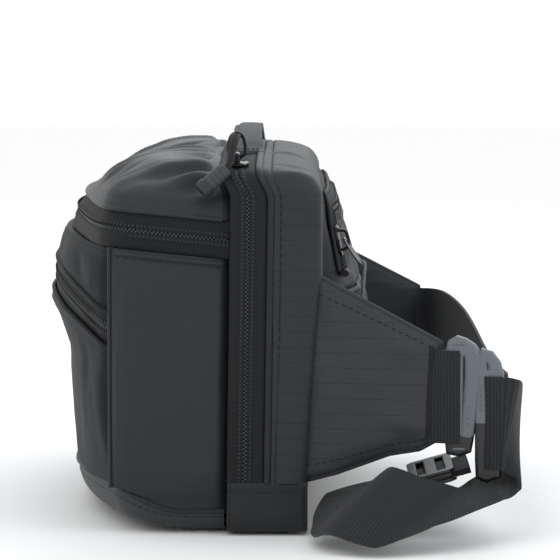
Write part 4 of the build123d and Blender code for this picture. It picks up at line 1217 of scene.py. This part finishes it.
def make_back_zip():
    turn_x, turn_z, foot_z = ZIP_LEG_X - ZIP_TURN, ZIP_TOP_Z - ZIP_TURN, 112
    half = [(ZIP_LEG_X, z) for z in np.linspace(foot_z, turn_z, 8)]
    for a in np.linspace(0, math.pi / 2, 12)[1:]:
        half.append((turn_x + ZIP_TURN * math.cos(a), turn_z + ZIP_TURN * math.sin(a)))
    half += [(x, ZIP_TOP_Z) for x in np.linspace(turn_x, 0, 30)[1:]]
    flat = resample(np.array(half + mirrored(half)), 161)
    tangent = np.gradient(flat, axis=0)
    side = unit(np.stack([tangent[:, 1], -tangent[:, 0]], axis=1))
    out = unit(np.stack([0.1 * np.sign(flat[:, 0]), np.ones(len(flat)), np.full(len(flat), 0.33)], axis=1))

    def line(away, lift):
        x, z = (flat + side * away).T
        return np.stack([x, pad_y(x, z) + lift, z], axis=1)

    band = Piece("back_zip")
    for sign, phase in ((1, 0.0), (-1, 0.5)):
        rows = [line(sign * d, h + 1.5) for d, h in ZIP_RIDGE]
        rows += [line(sign * 5.4, 1.4), line(sign * 6.8, 0.8)]
        band.shell(np.stack(rows, axis=1), 1.0, MAT["tape"], away=(0, 0, 100))
        zip_chain(band, line(0, 1.6), out, upright(side) * sign, phase)
        band.tube(line(sign * 7.0, 1.1), 0.95, MAT["back"])
        band.stitches(line(sign * 5.6, 1.6), out, pitch=3.2, length=2.2, radius=0.28)
    end_y, end_z = pad_y(ZIP_LEG_X, foot_z - 1.0) + 2.4, foot_z - 0.8
    for sign in (1, -1):
        bar = [(sign * (ZIP_LEG_X + w), end_y - 0.05 * abs(w) ** 1.4, end_z) for w in np.linspace(-7.5, 7.5, 13)]
        band.tube(bar, 2.0, MAT["piping"], squash=0.8)
    band.make("rear_body", ("back_zip_tape",))


# ---------------------------------------------------------------- handle

def make_handle():
    half, loose_half, middle_y = 62, 50, -8.8
    rows = []
    for x in np.linspace(half, -half, 97):
        t = min(abs(x) / loose_half, 1)
        rise = 8.6 * (1 - t**2.4) * smoothstep(loose_half - abs(x), 0, 7)
        pinch = 1.0 - 0.12 * (1 - t**4)
        z = crown(x) + 1.7 + rise
        line = []
        for w in np.linspace(-1, 1, 17):
            curl = 1.6 * smoothstep(-w, 0.45, 1.0) ** 2 * (1 - t**6)
            line.append((x, middle_y + 6.9 * w * pinch, z - curl - 0.35 * w * w))
        rows.append(line)
    points = np.array(rows)
    handle = Piece("grab_handle_webbing")
    handle.shell(points, 2.0, MAT["handle"], away=(0, -8, 150))
    handle.tube(points[10:-10, 0] + np.array([0, 0.4, -0.6]), 1.35, MAT["handle"], sides=10)
    # Each end is sewn down with a box and a cross: from X, to X, from Y, to Y.
    tacks = (
        (52, 60, -13.6, -13.6), (52, 60, -4.0, -4.0), (52, 52, -13.6, -4.0), (60, 60, -13.6, -4.0),
        (52, 60, -13.6, -4.0), (52, 60, -4.0, -13.6),
    )
    for sign in (1, -1):
        for x0, x1, y0, y1 in tacks:
            xs = sign * np.linspace(x0, x1, 12)
            row = np.stack([xs, np.linspace(y0, y1, 12), crown(xs) + 1.75], axis=1)
            handle.stitches(row, UP, pitch=2.0, length=1.5)
    handle.make("main_body", ("grab_handle",))


# ---------------------------------------------------------------- wings and webbing

FLARE = math.radians(10)
HINGE_X, HINGE_Y = 127.0, 25.6
WING_BOTTOM = np.array([(-11, 22.5), (5, 27), (28, 35.7), (41, 38), (48, 42)], float)
WING_TOP = np.array([(-4, 112), (23, 98), (50, 84)], float)
WING_ROWS, WING_COLUMNS = 52, 56
WEBBING = 40.0
LOOP_FOOT, WRAP_FOOT = 41.0, 30.3


def wing_point(side, along, outward_by, z):
    return np.array([
        side * (HINGE_X + along * math.sin(FLARE) + outward_by * math.cos(FLARE)),
        HINGE_Y + along * math.cos(FLARE) - outward_by * math.sin(FLARE),
        z,
    ])


def wing_plan():
    """Places (along, Z) over a wing, root to tip and bottom to top."""
    low, high = resample(WING_BOTTOM, WING_ROWS), resample(WING_TOP, WING_ROWS)
    t = np.linspace(0, 1, WING_COLUMNS)[None, :, None]
    return low[:, None, :] * (1 - t) + high[:, None, :] * t


def make_wings():
    plan = wing_plan()
    s, t = np.linspace(0, 1, WING_ROWS)[:, None], np.linspace(0, 1, WING_COLUMNS)[None, :]
    edge = np.minimum(np.minimum(s + 0.02, 1 - s) * 50, np.minimum(t, 1 - t) * 75)
    half = 0.9 + 3.1 * np.sqrt(np.clip(edge / 9.0, 0, 1))
    for side, name in ((1, "near"), (-1, "far")):
        face = np.array([[wing_point(side, a, 0, z) for a, z in line] for line in plan])
        out = np.array([side * math.cos(FLARE), -math.sin(FLARE), 0.0])
        tip_folds = [
            (wing_point(side, 49, 4, 46), wing_point(side, 22, 4, 52)),
            (wing_point(side, 48, 4, 41), wing_point(side, 30, 4, 40)),
            (wing_point(side, 48, 4, 78), wing_point(side, 24, 4, 84)),
            (wing_point(side, -2, 4, 100), wing_point(side, 10, 4, 60)),
        ]
        lift = creases(face + out * 4, tip_folds, 2.2, 4.5) + wobble(face, 1.6, 26.0, 8.0 + side)
        quilt = 0.8 * bulge_at((face[..., 2] - 30) % 24.0, 12, 2.2) * np.clip(edge / 12.0, 0, 1)
        front = face + out * (half + lift * np.clip(edge / 6.0, 0, 1) * 0.7)[..., None]
        rear = face - out * (half - quilt)[..., None]
        wing = Piece(f"{name}_wing_cloth")
        uv = plan + np.array([12.0, 0.0])
        wing.shell(front, 0, MAT["wing"], inner=MAT["rear"], uv=uv, away=wing_point(side, 20, -30, 60), back=rear)
        wing.tube(np.concatenate([face[:, 0], face[-1, 1:], face[-2::-1, -1]]), 1.25, MAT["wing"])
        for column in (4, -5):
            wing.stitches(front[2:-2, column], out, radius=0.32)
        tack = front[-4, 4:-4]
        run = lengths(tack)
        for shift, slant in ((0.0, 0.5), (0.55, -0.5)):
            along = unit([side * math.sin(FLARE), math.cos(FLARE), slant])
            for s_tack in np.arange(shift, run[-1], 1.1):
                wing.bead(between(s_tack, run, tack) + out * 0.3, along, out, 2.6, 0.42, MAT["thread"])
        wing.make(f"{name}_wing", (f"{name}_wing_pad",))


def make_wing_loop():
    """Webbing folded round the upright bar of the buckle's frame."""
    bar, radius, root = 56.0, 3.3, 43.0
    bend = [(bar + radius * math.cos(a), radius * math.sin(a)) for a in np.linspace(math.pi / 2, -math.pi / 2, 19)]
    route = resample(np.array([(root, 1.6)] + bend + [(root, -1.6)]), 61)
    heights = LOOP_FOOT + WEBBING * np.linspace(0, 1, 15)
    points = np.array([[wing_point(1, along, out, z) for z in heights] for along, out in route])
    middle = wing_point(1, bar - 4, 0, LOOP_FOOT + WEBBING / 2)
    normals = grid_normals(points)
    if np.sum(normals * (points - middle)) < 0:
        normals = -normals
    loop = Piece("near_wing_loop_webbing")
    loop.shell(points + normals, 0, MAT["webbing"], away=middle, back=points - normals)
    loop.make("near_wing", ("near_wing_loop",))


# ---------------------------------------------------------------- belt and its tail

def route_curve(name, points):
    """The points along a curve that uses the route's points as they are."""
    data = bpy.data.curves.new(name, "CURVE")
    data.dimensions = "3D"
    data.resolution_u = 12
    spline = data.splines.new("NURBS")
    spline.points.add(len(points) - 1)
    for point, where in zip(spline.points, points):
        point.co = (*(np.array(where) * MM), 1)
    spline.order_u = 3
    spline.use_endpoint_u = True
    curve = bpy.data.objects.new(name, data)
    mesh = bpy.data.meshes.new_from_object(curve)
    run = np.array([tuple(v.co) for v in mesh.vertices]) / MM
    bpy.data.meshes.remove(mesh)
    bpy.data.objects.remove(curve)
    bpy.data.curves.remove(data)
    return resample(run, max(40, int(lengths(run)[-1] / 1.2)))


def ribbon(piece, path, width_way, hem=False, sag=0.0, square=True):
    """Webbing 40 mm wide and 2 mm thick along a path; width_way is the direction across it."""
    tangent = unit(np.gradient(path, axis=0))
    if square:
        width_way = width_way - tangent * np.sum(width_way * tangent, axis=1, keepdims=True)
    width_way = unit(width_way)
    normal = unit(np.cross(tangent, width_way))
    w = np.linspace(-1, 1, 21)
    cup = sag * (w**2)[None, :, None] * normal[:, None, :]
    middle = path[:, None, :] + width_way[:, None, :] * (w * WEBBING / 2)[None, :, None] + cup
    half = (1.0 - 0.35 * np.abs(w) ** 8)[None, :, None] * np.ones((len(path), 1, 1))
    if hem:
        half[-14:] *= 1.9
    uv = np.stack(np.meshgrid(lengths(path), w * WEBBING / 2, indexing="ij"), axis=2)
    front, rear = middle + normal[:, None, :] * half, middle - normal[:, None, :] * half
    behind = np.mean(rear, axis=(0, 1)) - 40 * np.mean(normal, axis=0)
    piece.shell(front, 0, MAT["webbing"], uv=uv, away=behind, back=rear)
    return front, normal


# Where both routes start: the webbing on the near side of the adjuster bar.
BELT_START = 75.7
BELT_ROUTE = [
    wing_point(1, BELT_START, -3.3, 0)[:2], (137.9, 104.8), (121, 102.4), (74, 98.6), (8, 97.4), (-58, 95.4),
    (-108, 90.8), (-137, 84.4), wing_point(-1, 50.3, 0, 0)[:2],
]
# Each place with the direction across the webbing there; the first six lie round the bar.
TAIL_ROUTE = [
    (wing_point(1, BELT_START, -3.3, 50.3), (0, 0, 1)),
    (wing_point(1, 73.5, -3.3, 50.3), (0, 0, 1)),
    (wing_point(1, 70.2, -3.3, 50.3), (0, 0, 1)),
    (wing_point(1, 70.2, 3.3, 50.3), (0, 0, 1)),
    (wing_point(1, 73.5, 3.3, 50.3), (0, 0, 1)),
    (wing_point(1, BELT_START, 3.3, 50.3), (0, 0, 1)),
    ((144.4, 103.6, 50.1), (0, 0.17, 0.99)),
    ((134.5, 108.8, 45), (-0.5, 0.05, 0.85)),
    ((127, 107.8, 30), (-0.94, -0.04, 0.34)),
    ((131, 100, 23), (-0.98, -0.13, 0.15)),
    ((145.5, 89, 20.5), (-0.99, 0, 0.16)),
    ((159.5, 78.2, 17.5), (-0.93, 0.28, 0.24)),
    ((171, 66.8, 16.8), (-0.75, 0.45, 0.48)),
    ((178, 56.7, 16.8), (-0.57, 0.5, 0.66)),
    ((176.5, 46.9, 20), (-0.45, 0.59, 0.67)),
    ((169.5, 38.2, 22), (-0.36, 0.67, 0.64)),
    ((155, 34.5, 16), (-0.1, 0.75, 0.6)),
    ((141, 36, 16), (-0.02, 0.8, 0.5)),
    ((127, 43, 17), (0.45, 0.88, 0.05)),
    ((114, 56, 20.56), (1, 0, 0)),
    ((114, 88, 29.56), (1, 0, 0)),
]


def make_belt():
    start_x, start_z, slope = wing_point(1, BELT_START, 0, 0)[0], WRAP_FOOT + WEBBING / 2, 0.047
    path = route_curve("belt_route", [(x, y, start_z + slope * (start_x - x)) for x, y in BELT_ROUTE])
    belt = Piece("belt_webbing")
    front, normal = ribbon(belt, path, UP, sag=-0.5)
    for row in (-9, -14):
        line = front[row, 1:-1] + normal[row] * 0.1
        belt.stitches(line, normal[row], pitch=1.2, length=2.2, across=True)
    piece = belt.make("far_wing", ("belt_strap",))


def make_tail():
    centres = [p for p, _ in TAIL_ROUTE]
    path = route_curve("tail_route", centres)
    run = lengths(np.array(centres, float))
    ways = np.array([w for _, w in TAIL_ROUTE], float)
    across = between(np.linspace(0, run[-1], len(path)), run, ways)
    tail = Piece("belt_tail_webbing")
    front, normal = ribbon(tail, path, across, hem=True, sag=0.8, square=False)
    for row in (-4, -13):
        line = front[row, 1:-1] + normal[row] * 0.1
        tail.stitches(line, normal[row], pitch=2.6, length=1.9, radius=0.32)
    piece = tail.make("far_wing", ("belt_wrap", "belt_tail", "belt_tail_return"))


# ---------------------------------------------------------------- buckle

def frame_matrix(origin, x_way, y_way):
    """A matrix whose axes are the two ways and their cross product."""
    x, y = Vector(x_way).normalized(), Vector(y_way).normalized()
    z = x.cross(y)
    return Matrix((
        (x.x, y.x, z.x, origin[0]),
        (x.y, y.y, z.y, origin[1]),
        (x.z, y.z, z.z, origin[2]),
        (0, 0, 0, 1),
    ))


def at(matrix, points):
    return np.array([tuple(matrix @ Vector(p)) for p in points])


def dark_foot(piece, below_z):
    """Faces of a buckle half below a height get the black plastic, so its lower part is dark."""
    piece.data.materials.append(MAT["black"])
    for face in piece.data.polygons:
        if face.center.z < below_z * MM:
            face.material_index = 1


def wing_matrix(outward_by=0.0):
    return frame_matrix(wing_point(1, 0, outward_by, 0), (math.sin(FLARE), math.cos(FLARE), 0), (0, 0, 1))


def buckle_ribs(piece, heights, along, outward_by, radius):
    """Small level ribs, all over the same run along the wing."""
    for z in heights:
        piece.tube([wing_point(1, a, outward_by, z) for a in along], radius, MAT["buckle"])


def make_buckle_frame():
    outer = [
        (53.9, 42), (54.4, 37.6), (58.5, 36.8), (62.0, 38.2), (63.4, 46), (65.0, 60), (66.0, 72), (66.2, 79),
        (64.0, 82.4), (60.5, 84.6), (57.5, 85.5), (54.8, 83.8), (53.9, 79),
    ]
    window = [(58.7, 42), (60.4, 42), (61.6, 58), (62.4, 70), (62.2, 79.4), (58.7, 80)]
    half = plate(
        "buckle_frame_body", doubled(outer), [doubled(window)], 6.0, 1.7, wing_matrix(), "near_wing",
        MAT["buckle"], ("buckle_frame",), bow=lambda x, y: 0.9 * math.cos((y - 61) / 16.0) * smoothstep(x, 58, 66),
    )
    dark_foot(half, 44)
    ribs = Piece("buckle_frame_ribs")
    buckle_ribs(ribs, (50, 52.5, 55, 57.5), np.linspace(61.8, 63.4, 6), 3.2, 0.55)
    buckle_ribs(ribs, (84.0, 38.6), np.linspace(56.0, 61.0, 8), 3.0, 0.6)
    ribs.make("near_wing")


def make_buckle_hook():
    outer = [
        (66.9, 34), (67.2, 27), (70.5, 25.8), (74.6, 27.4), (75.7, 34), (75.8, 48), (75.6, 66), (75.9, 71),
        (74.6, 75.6), (71.6, 79.4), (68.6, 80.2), (66.8, 77.0), (66.9, 66),
    ]
    slot = [(69.2, 72.2), (71.0, 71.6), (73.0, 72.4), (72.4, 75.6), (70.4, 77.6), (69.0, 76.6)]
    window = [(69.0, 31.0), (71.2, 31.0), (71.2, 50), (71.2, 69.2), (69.0, 69.2), (69.0, 50)]
    half = plate(
        "buckle_hook_body", doubled(outer), [doubled(slot), doubled(window)], 5.6, 1.6, wing_matrix(), "far_wing",
        MAT["buckle"], ("buckle_hook",), bow=lambda x, y: 0.8 * math.cos((y - 52) / 18.0),
    )
    dark_foot(half, 50)
    tongue = [(60.9, 54.5), (61.8, 52.4), (67.6, 52.0), (67.6, 70.0), (61.8, 69.6), (60.9, 67.5)]
    plate("buckle_tongue", doubled(tongue), [], 2.6, 0.9, wing_matrix(-3.6), "far_wing", MAT["buckle"])
    grips = Piece("buckle_hook_ribs")
    buckle_ribs(grips, (66, 64, 62, 60, 58, 56), np.linspace(67.6, 68.4, 5), 3.5, 0.5)
    grips.tube([wing_point(1, 73.6, 0, z) for z in np.linspace(29, 71, 12)], 2.0, MAT["buckle"], sides=16)
    grips.make("far_wing")


def make_keeper():
    """The tri-glide on the belt's tail: two faces with windows, joined by their side rails."""
    run = np.array([0.0, 32.0, 9.0]) / math.hypot(32, 9)
    middle = frame_matrix((114, 72, 25.06), (1, 0, 0), run)
    outline = doubled([
        (-24.5, -7.5), (-22.5, -9.4), (22.5, -9.4), (24.5, -7.5), (24.5, 7.5), (22.5, 9.4), (-22.5, 9.4), (-24.5, 7.5),
    ])

    def face(name, windows, height, replaces=()):
        holes = [doubled([(-19.5, low), (19.5, low), (19.5, high), (-19.5, high)]) for low, high in windows]
        matrix = middle @ Matrix.Translation((0, 0, height))
        plate(name, outline, holes, 1.5, 0.6, matrix, "keeper", MAT["black"], replaces)

    face("tri_glide_upper", ((-6.6, -2.1), (2.1, 6.6)), 2.0, ("tri_glide",))
    face("tri_glide_lower", ((-5.6, 5.6),), -2.0)
    rails = Piece("tri_glide_rails")
    for x in (-22.8, 22.8):
        rails.tube(at(middle, [(x, y, 0) for y in np.linspace(-8.0, 8.0, 9)]), 2.0, MAT["black"], sides=12)
    rails.make("keeper")


# ---------------------------------------------------------------- sliders and pulls

HOLE_UP, WIRE_R = 3.9, 0.65


def rounded(points, times=3, closed=False):
    """Corners cut again and again until they are round."""
    points = np.array(points, float)
    for _ in range(times):
        after = np.roll(points, -1, axis=0) if closed else points[1:]
        before = points if closed else points[:-1]
        cut = np.stack([before * 0.75 + after * 0.25, before * 0.25 + after * 0.75], axis=1)
        cut = cut.reshape(-1, points.shape[1])
        points = cut if closed else np.concatenate([points[:1], cut, points[-1:]])
    return points


def both_edges(edge):
    """An outline from the part of it above the X axis, without repeating points on the axis."""
    return edge + [(x, -y) for x, y in reversed(edge) if y]


def make_slider(name, matrix, body):
    """A zip slider: a shouldered top plate, side flanges, and the bridge that holds the ring."""
    shield = both_edges([
        (6.3, 0), (6.1, 2.6), (5.2, 4.5), (3.0, 4.75), (0.0, 4.2), (-3.0, 3.3), (-5.4, 2.9), (-6.4, 1.9), (-6.5, 0),
    ])
    lift = Matrix.Translation((0, 0, 1.35))
    plate(
        f"{name}_top", shield, [], 1.7, 0.6, matrix @ lift, body, MAT["slider"], (name,),
        bow=lambda x, y: -0.02 * y * y,
    )
    detail = Piece(f"{name}_bridge")
    arch = rounded([(-4.4, 0, 1.6), (-4.2, 0, 4.6), (-2.6, 0, 5.7), (2.4, 0, 5.7), (4.0, 0, 4.6), (4.3, 0, 1.6)], 2)
    path = at(matrix, arch)
    width = np.tile(np.array(matrix.to_3x3() @ Vector((0, 1, 0))), (len(path), 1))
    detail.tube(path, 0.72, MAT["slider"], sides=12, squash=1.9, up=width)
    for y in (-1, 1):
        rail = rounded([(5.6, y * 4.0, 0.9), (2.0, y * 4.4, 0.8), (-2.0, y * 3.4, 0.8), (-5.8, y * 2.5, 0.9)], 2)
        detail.tube(at(matrix, rail), 0.75, MAT["slider"])
    nose = rounded([(5.2, -3.6, 2.0), (5.9, 0, 2.1), (5.2, 3.6, 2.0)], 2)
    detail.tube(at(matrix, nose), 0.45, MAT["slider"])
    detail.make(body)


def make_ring(name, body, node, origin, ways, size, material, radius=WIRE_R, narrowing=1.0):
    """A closed wire ring from a slider's hole: the way it hangs or stands, and the way across it."""
    away = unit(ways[0])
    across = np.array(ways[1], float)
    across = unit(across - away * across.dot(away))
    width, length = size
    half, end_half = width / 2, width / 2 * narrowing
    flat = rounded([(0, -half), (0, half), (length, end_half), (length, -end_half)], 4, closed=True)
    piece = Piece(name)
    piece.tube(origin + flat[:, :1] * away + flat[:, 1:] * across, radius, material, sides=12, closed=True)
    piece.make(body, (node,))


REAR_SLIDER = frame_matrix((112, -12.8, 158.3), (-0.998351, 0, 0.057405), (0, -1, 0))
REAR_HOLE = np.array([112.224, -12.8, 162.194])
LID_X, LID_Y = (0, -0.995037, 0.099504), (0, 0.099504, 0.995037)
LID_SLIDER, LID_HOLE = frame_matrix((-125, -26, 128.37), LID_X, LID_Y), np.array([-128.9, -26, 128.37])
FRONT_HOLE = np.array([-93.4448, -86.7157, 96.6475])
FRONT_X, FRONT_Y = (0.915358, -0.345262, 0.207157), (-0.157749, 0.165848, 0.973452)
BACK_Y = (0.996128, -0.086203, -0.017241)
BACK_SLIDER = frame_matrix((98, 30.2, 125), (0, -0.196116, 0.980581), BACK_Y)
BACK_HOLE = np.array([98.3429, 34.0095, 125.762])
RING_SIZE = (8.3, 10.7)


def make_rear_pull():
    """The slider at the near corner, its ring, the cord through it and the moulded barrel."""
    body, hole = "rear_zip_pull", REAR_HOLE
    make_slider("rear_slider", REAR_SLIDER, "rear_zip_slider")
    stands = ((0, 0, 1), (0, 1, 0))
    make_ring("rear_ring", body, "rear_bail", hole, stands, RING_SIZE, MAT["slider"], radius=0.8, narrowing=0.72)
    top = np.array([126.6, -16.8, 158.4])
    way = unit([0.15, -0.75, -0.66])
    cord = Piece("rear_pull_cord_loop")
    for shift in (-0.95, 0.95):
        side = np.array([0.0, shift, -0.2 * shift])
        route = [
            hole + (-1.5, 0, 8.3), hole + (0.2, 0, 9.7) + side, hole + (5, -0.4, 10.2) + side,
            hole + (10, -1.4, 6.2) + side, top - way * 1.4 + side * 0.6, top + way * 2.0 + side * 0.4,
        ]
        cord.tube(rounded(route), 0.95, MAT["cord"], sides=10)
    cord.make(body, ("rear_pull_cord",))
    barrel = Piece("rear_barrel_pull")
    # Turned profiles: place along the barrel, radius.
    grip = [
        (0, 1.7), (0.35, 2.6), (1.0, 3.2), (2.0, 3.55), (3.4, 3.6), (3.8, 3.35), (4.2, 3.6), (5.6, 3.65), (6.0, 3.4),
        (6.4, 3.65), (7.8, 3.7), (8.2, 3.45), (8.6, 3.75), (10.6, 3.8), (11.0, 3.6),
    ]
    cap = [(10.9, 3.5), (11.1, 4.0), (11.9, 4.2), (13.6, 4.2), (14.8, 3.9), (15.3, 3.2), (15.5, 1.8), (15.2, 0.6)]
    for profile, material in ((grip, MAT["pull"]), (cap, MAT["pull_dark"])):
        path = np.array([top + way * s for s, _ in profile])
        barrel.tube(path, [r * 1.12 for _, r in profile], material, sides=28, squash=0.86)
    barrel.make(body, ("rear_pull",))


def flat_pull(name, matrix, body, material, node, size):
    """A moulded tab with grip ribs, lying along +X of its matrix from its origin."""
    width, length, thick = size
    h = width / 2
    edge = [(0, h * 0.55), (2.2, h * 0.8), (length * 0.55, h), (length - 1.2, h * 0.95), (length, h * 0.4)]
    outline = [(0, -h * 0.55), (-0.1, 0)] + edge + [(x, -y) for x, y in reversed(edge[1:])]
    plate(name, outline, [], thick, thick * 0.36, matrix, body, material, (node,))
    ribs = Piece(f"{name}_ribs")
    for x in np.arange(length * 0.42, length - 1.8, 1.7):
        for face in (-thick, thick):
            row = rounded([(x, -h * 0.62, face * 0.48), (x + 0.5, 0, face * 0.53), (x, h * 0.62, face * 0.48)], 2)
            ribs.tube(at(matrix, row), 0.42, material)
    ribs.make(body)


def make_plain_pulls():
    """The sliders on the lid zip and the pocket zip, each with a ring and a ribbed tab."""
    z_way = np.array(tuple(Vector(FRONT_X).cross(Vector(FRONT_Y)).normalized()))
    front_slider = frame_matrix(FRONT_HOLE - z_way * HOLE_UP, FRONT_X, FRONT_Y)
    make_slider("main_slider", LID_SLIDER, "lid_zip_slider")
    make_slider("front_slider", front_slider, "pocket_zip_slider")
    for name, hole, ways, body in (
        ("main", LID_HOLE, (LID_X, LID_Y), "lid_zip_pull"),
        ("front", FRONT_HOLE, (FRONT_X, FRONT_Y), "pocket_zip_pull"),
    ):
        make_ring(f"{name}_ring", body, f"{name}_bail", hole, ways, RING_SIZE, MAT["wire"])
        matrix = frame_matrix(hole + np.array(ways[0]) * 9.6, *ways)
        flat_pull(f"{name}_tab", matrix, body, MAT["pull"], f"{name}_pull", (8.6, 15.8, 4.0))


def make_back_pull():
    """The back pocket's slider, its ring, the cord through it and the small tab at the cord's end."""
    body = "back_zip_pull"
    make_slider("back_slider", BACK_SLIDER, "back_zip_slider")
    across, hang = np.array(BACK_Y), np.array([0.0, 0.57, -0.82])
    hang = unit(hang - across * hang.dot(across))
    make_ring("back_ring", body, "back_bail", BACK_HOLE, (hang, across), (7.3, 13.7), MAT["wire"], radius=0.7)
    top, loop = BACK_HOLE + hang * 11.3, BACK_HOLE + hang * 13.7
    end = top + np.array([0.4, 2.0, -29])
    cord = Piece("back_pull_cord_loop")
    for shift in (-0.9, 0.9):
        side = np.array([shift, 0.0, 0.0])
        route = [
            loop + side * 0.3 + (0, -0.4, 1.7), loop + side + (0, 1.5, 0.8), top + side + (0, 2.0, -9),
            top + side + (0.6, 1.6, -19), end + side * 0.7,
        ]
        cord.tube(rounded(route), 0.85, MAT["cord_grey"], sides=10)
    cord.make(body, ("back_pull_cord",))
    down = frame_matrix(end + np.array([0, 0, 1.6]), (0.02, 0.05, -1), (0.1, 1, 0.05))
    flat_pull("back_tab", down, body, MAT["pull_dark"], "back_pull", (6.0, 12.6, 4.6))


# ---------------------------------------------------------------- everything together

make_camera()
make_belt()
make_tail()
make_stage()
make_rear_zip()
make_rear_shell()
make_foot()
make_lid_zip()
make_lid()
make_sides()
make_pocket_panel()
make_pocket_zip()
make_yoke()
make_base()
make_inside()
make_lumbar_pad()
make_back_panel()
make_back_zip()
make_handle()
make_wings()
make_wing_loop()
make_buckle_frame()
make_buckle_hook()
make_keeper()
make_rear_pull()
make_plain_pulls()
make_back_pull()
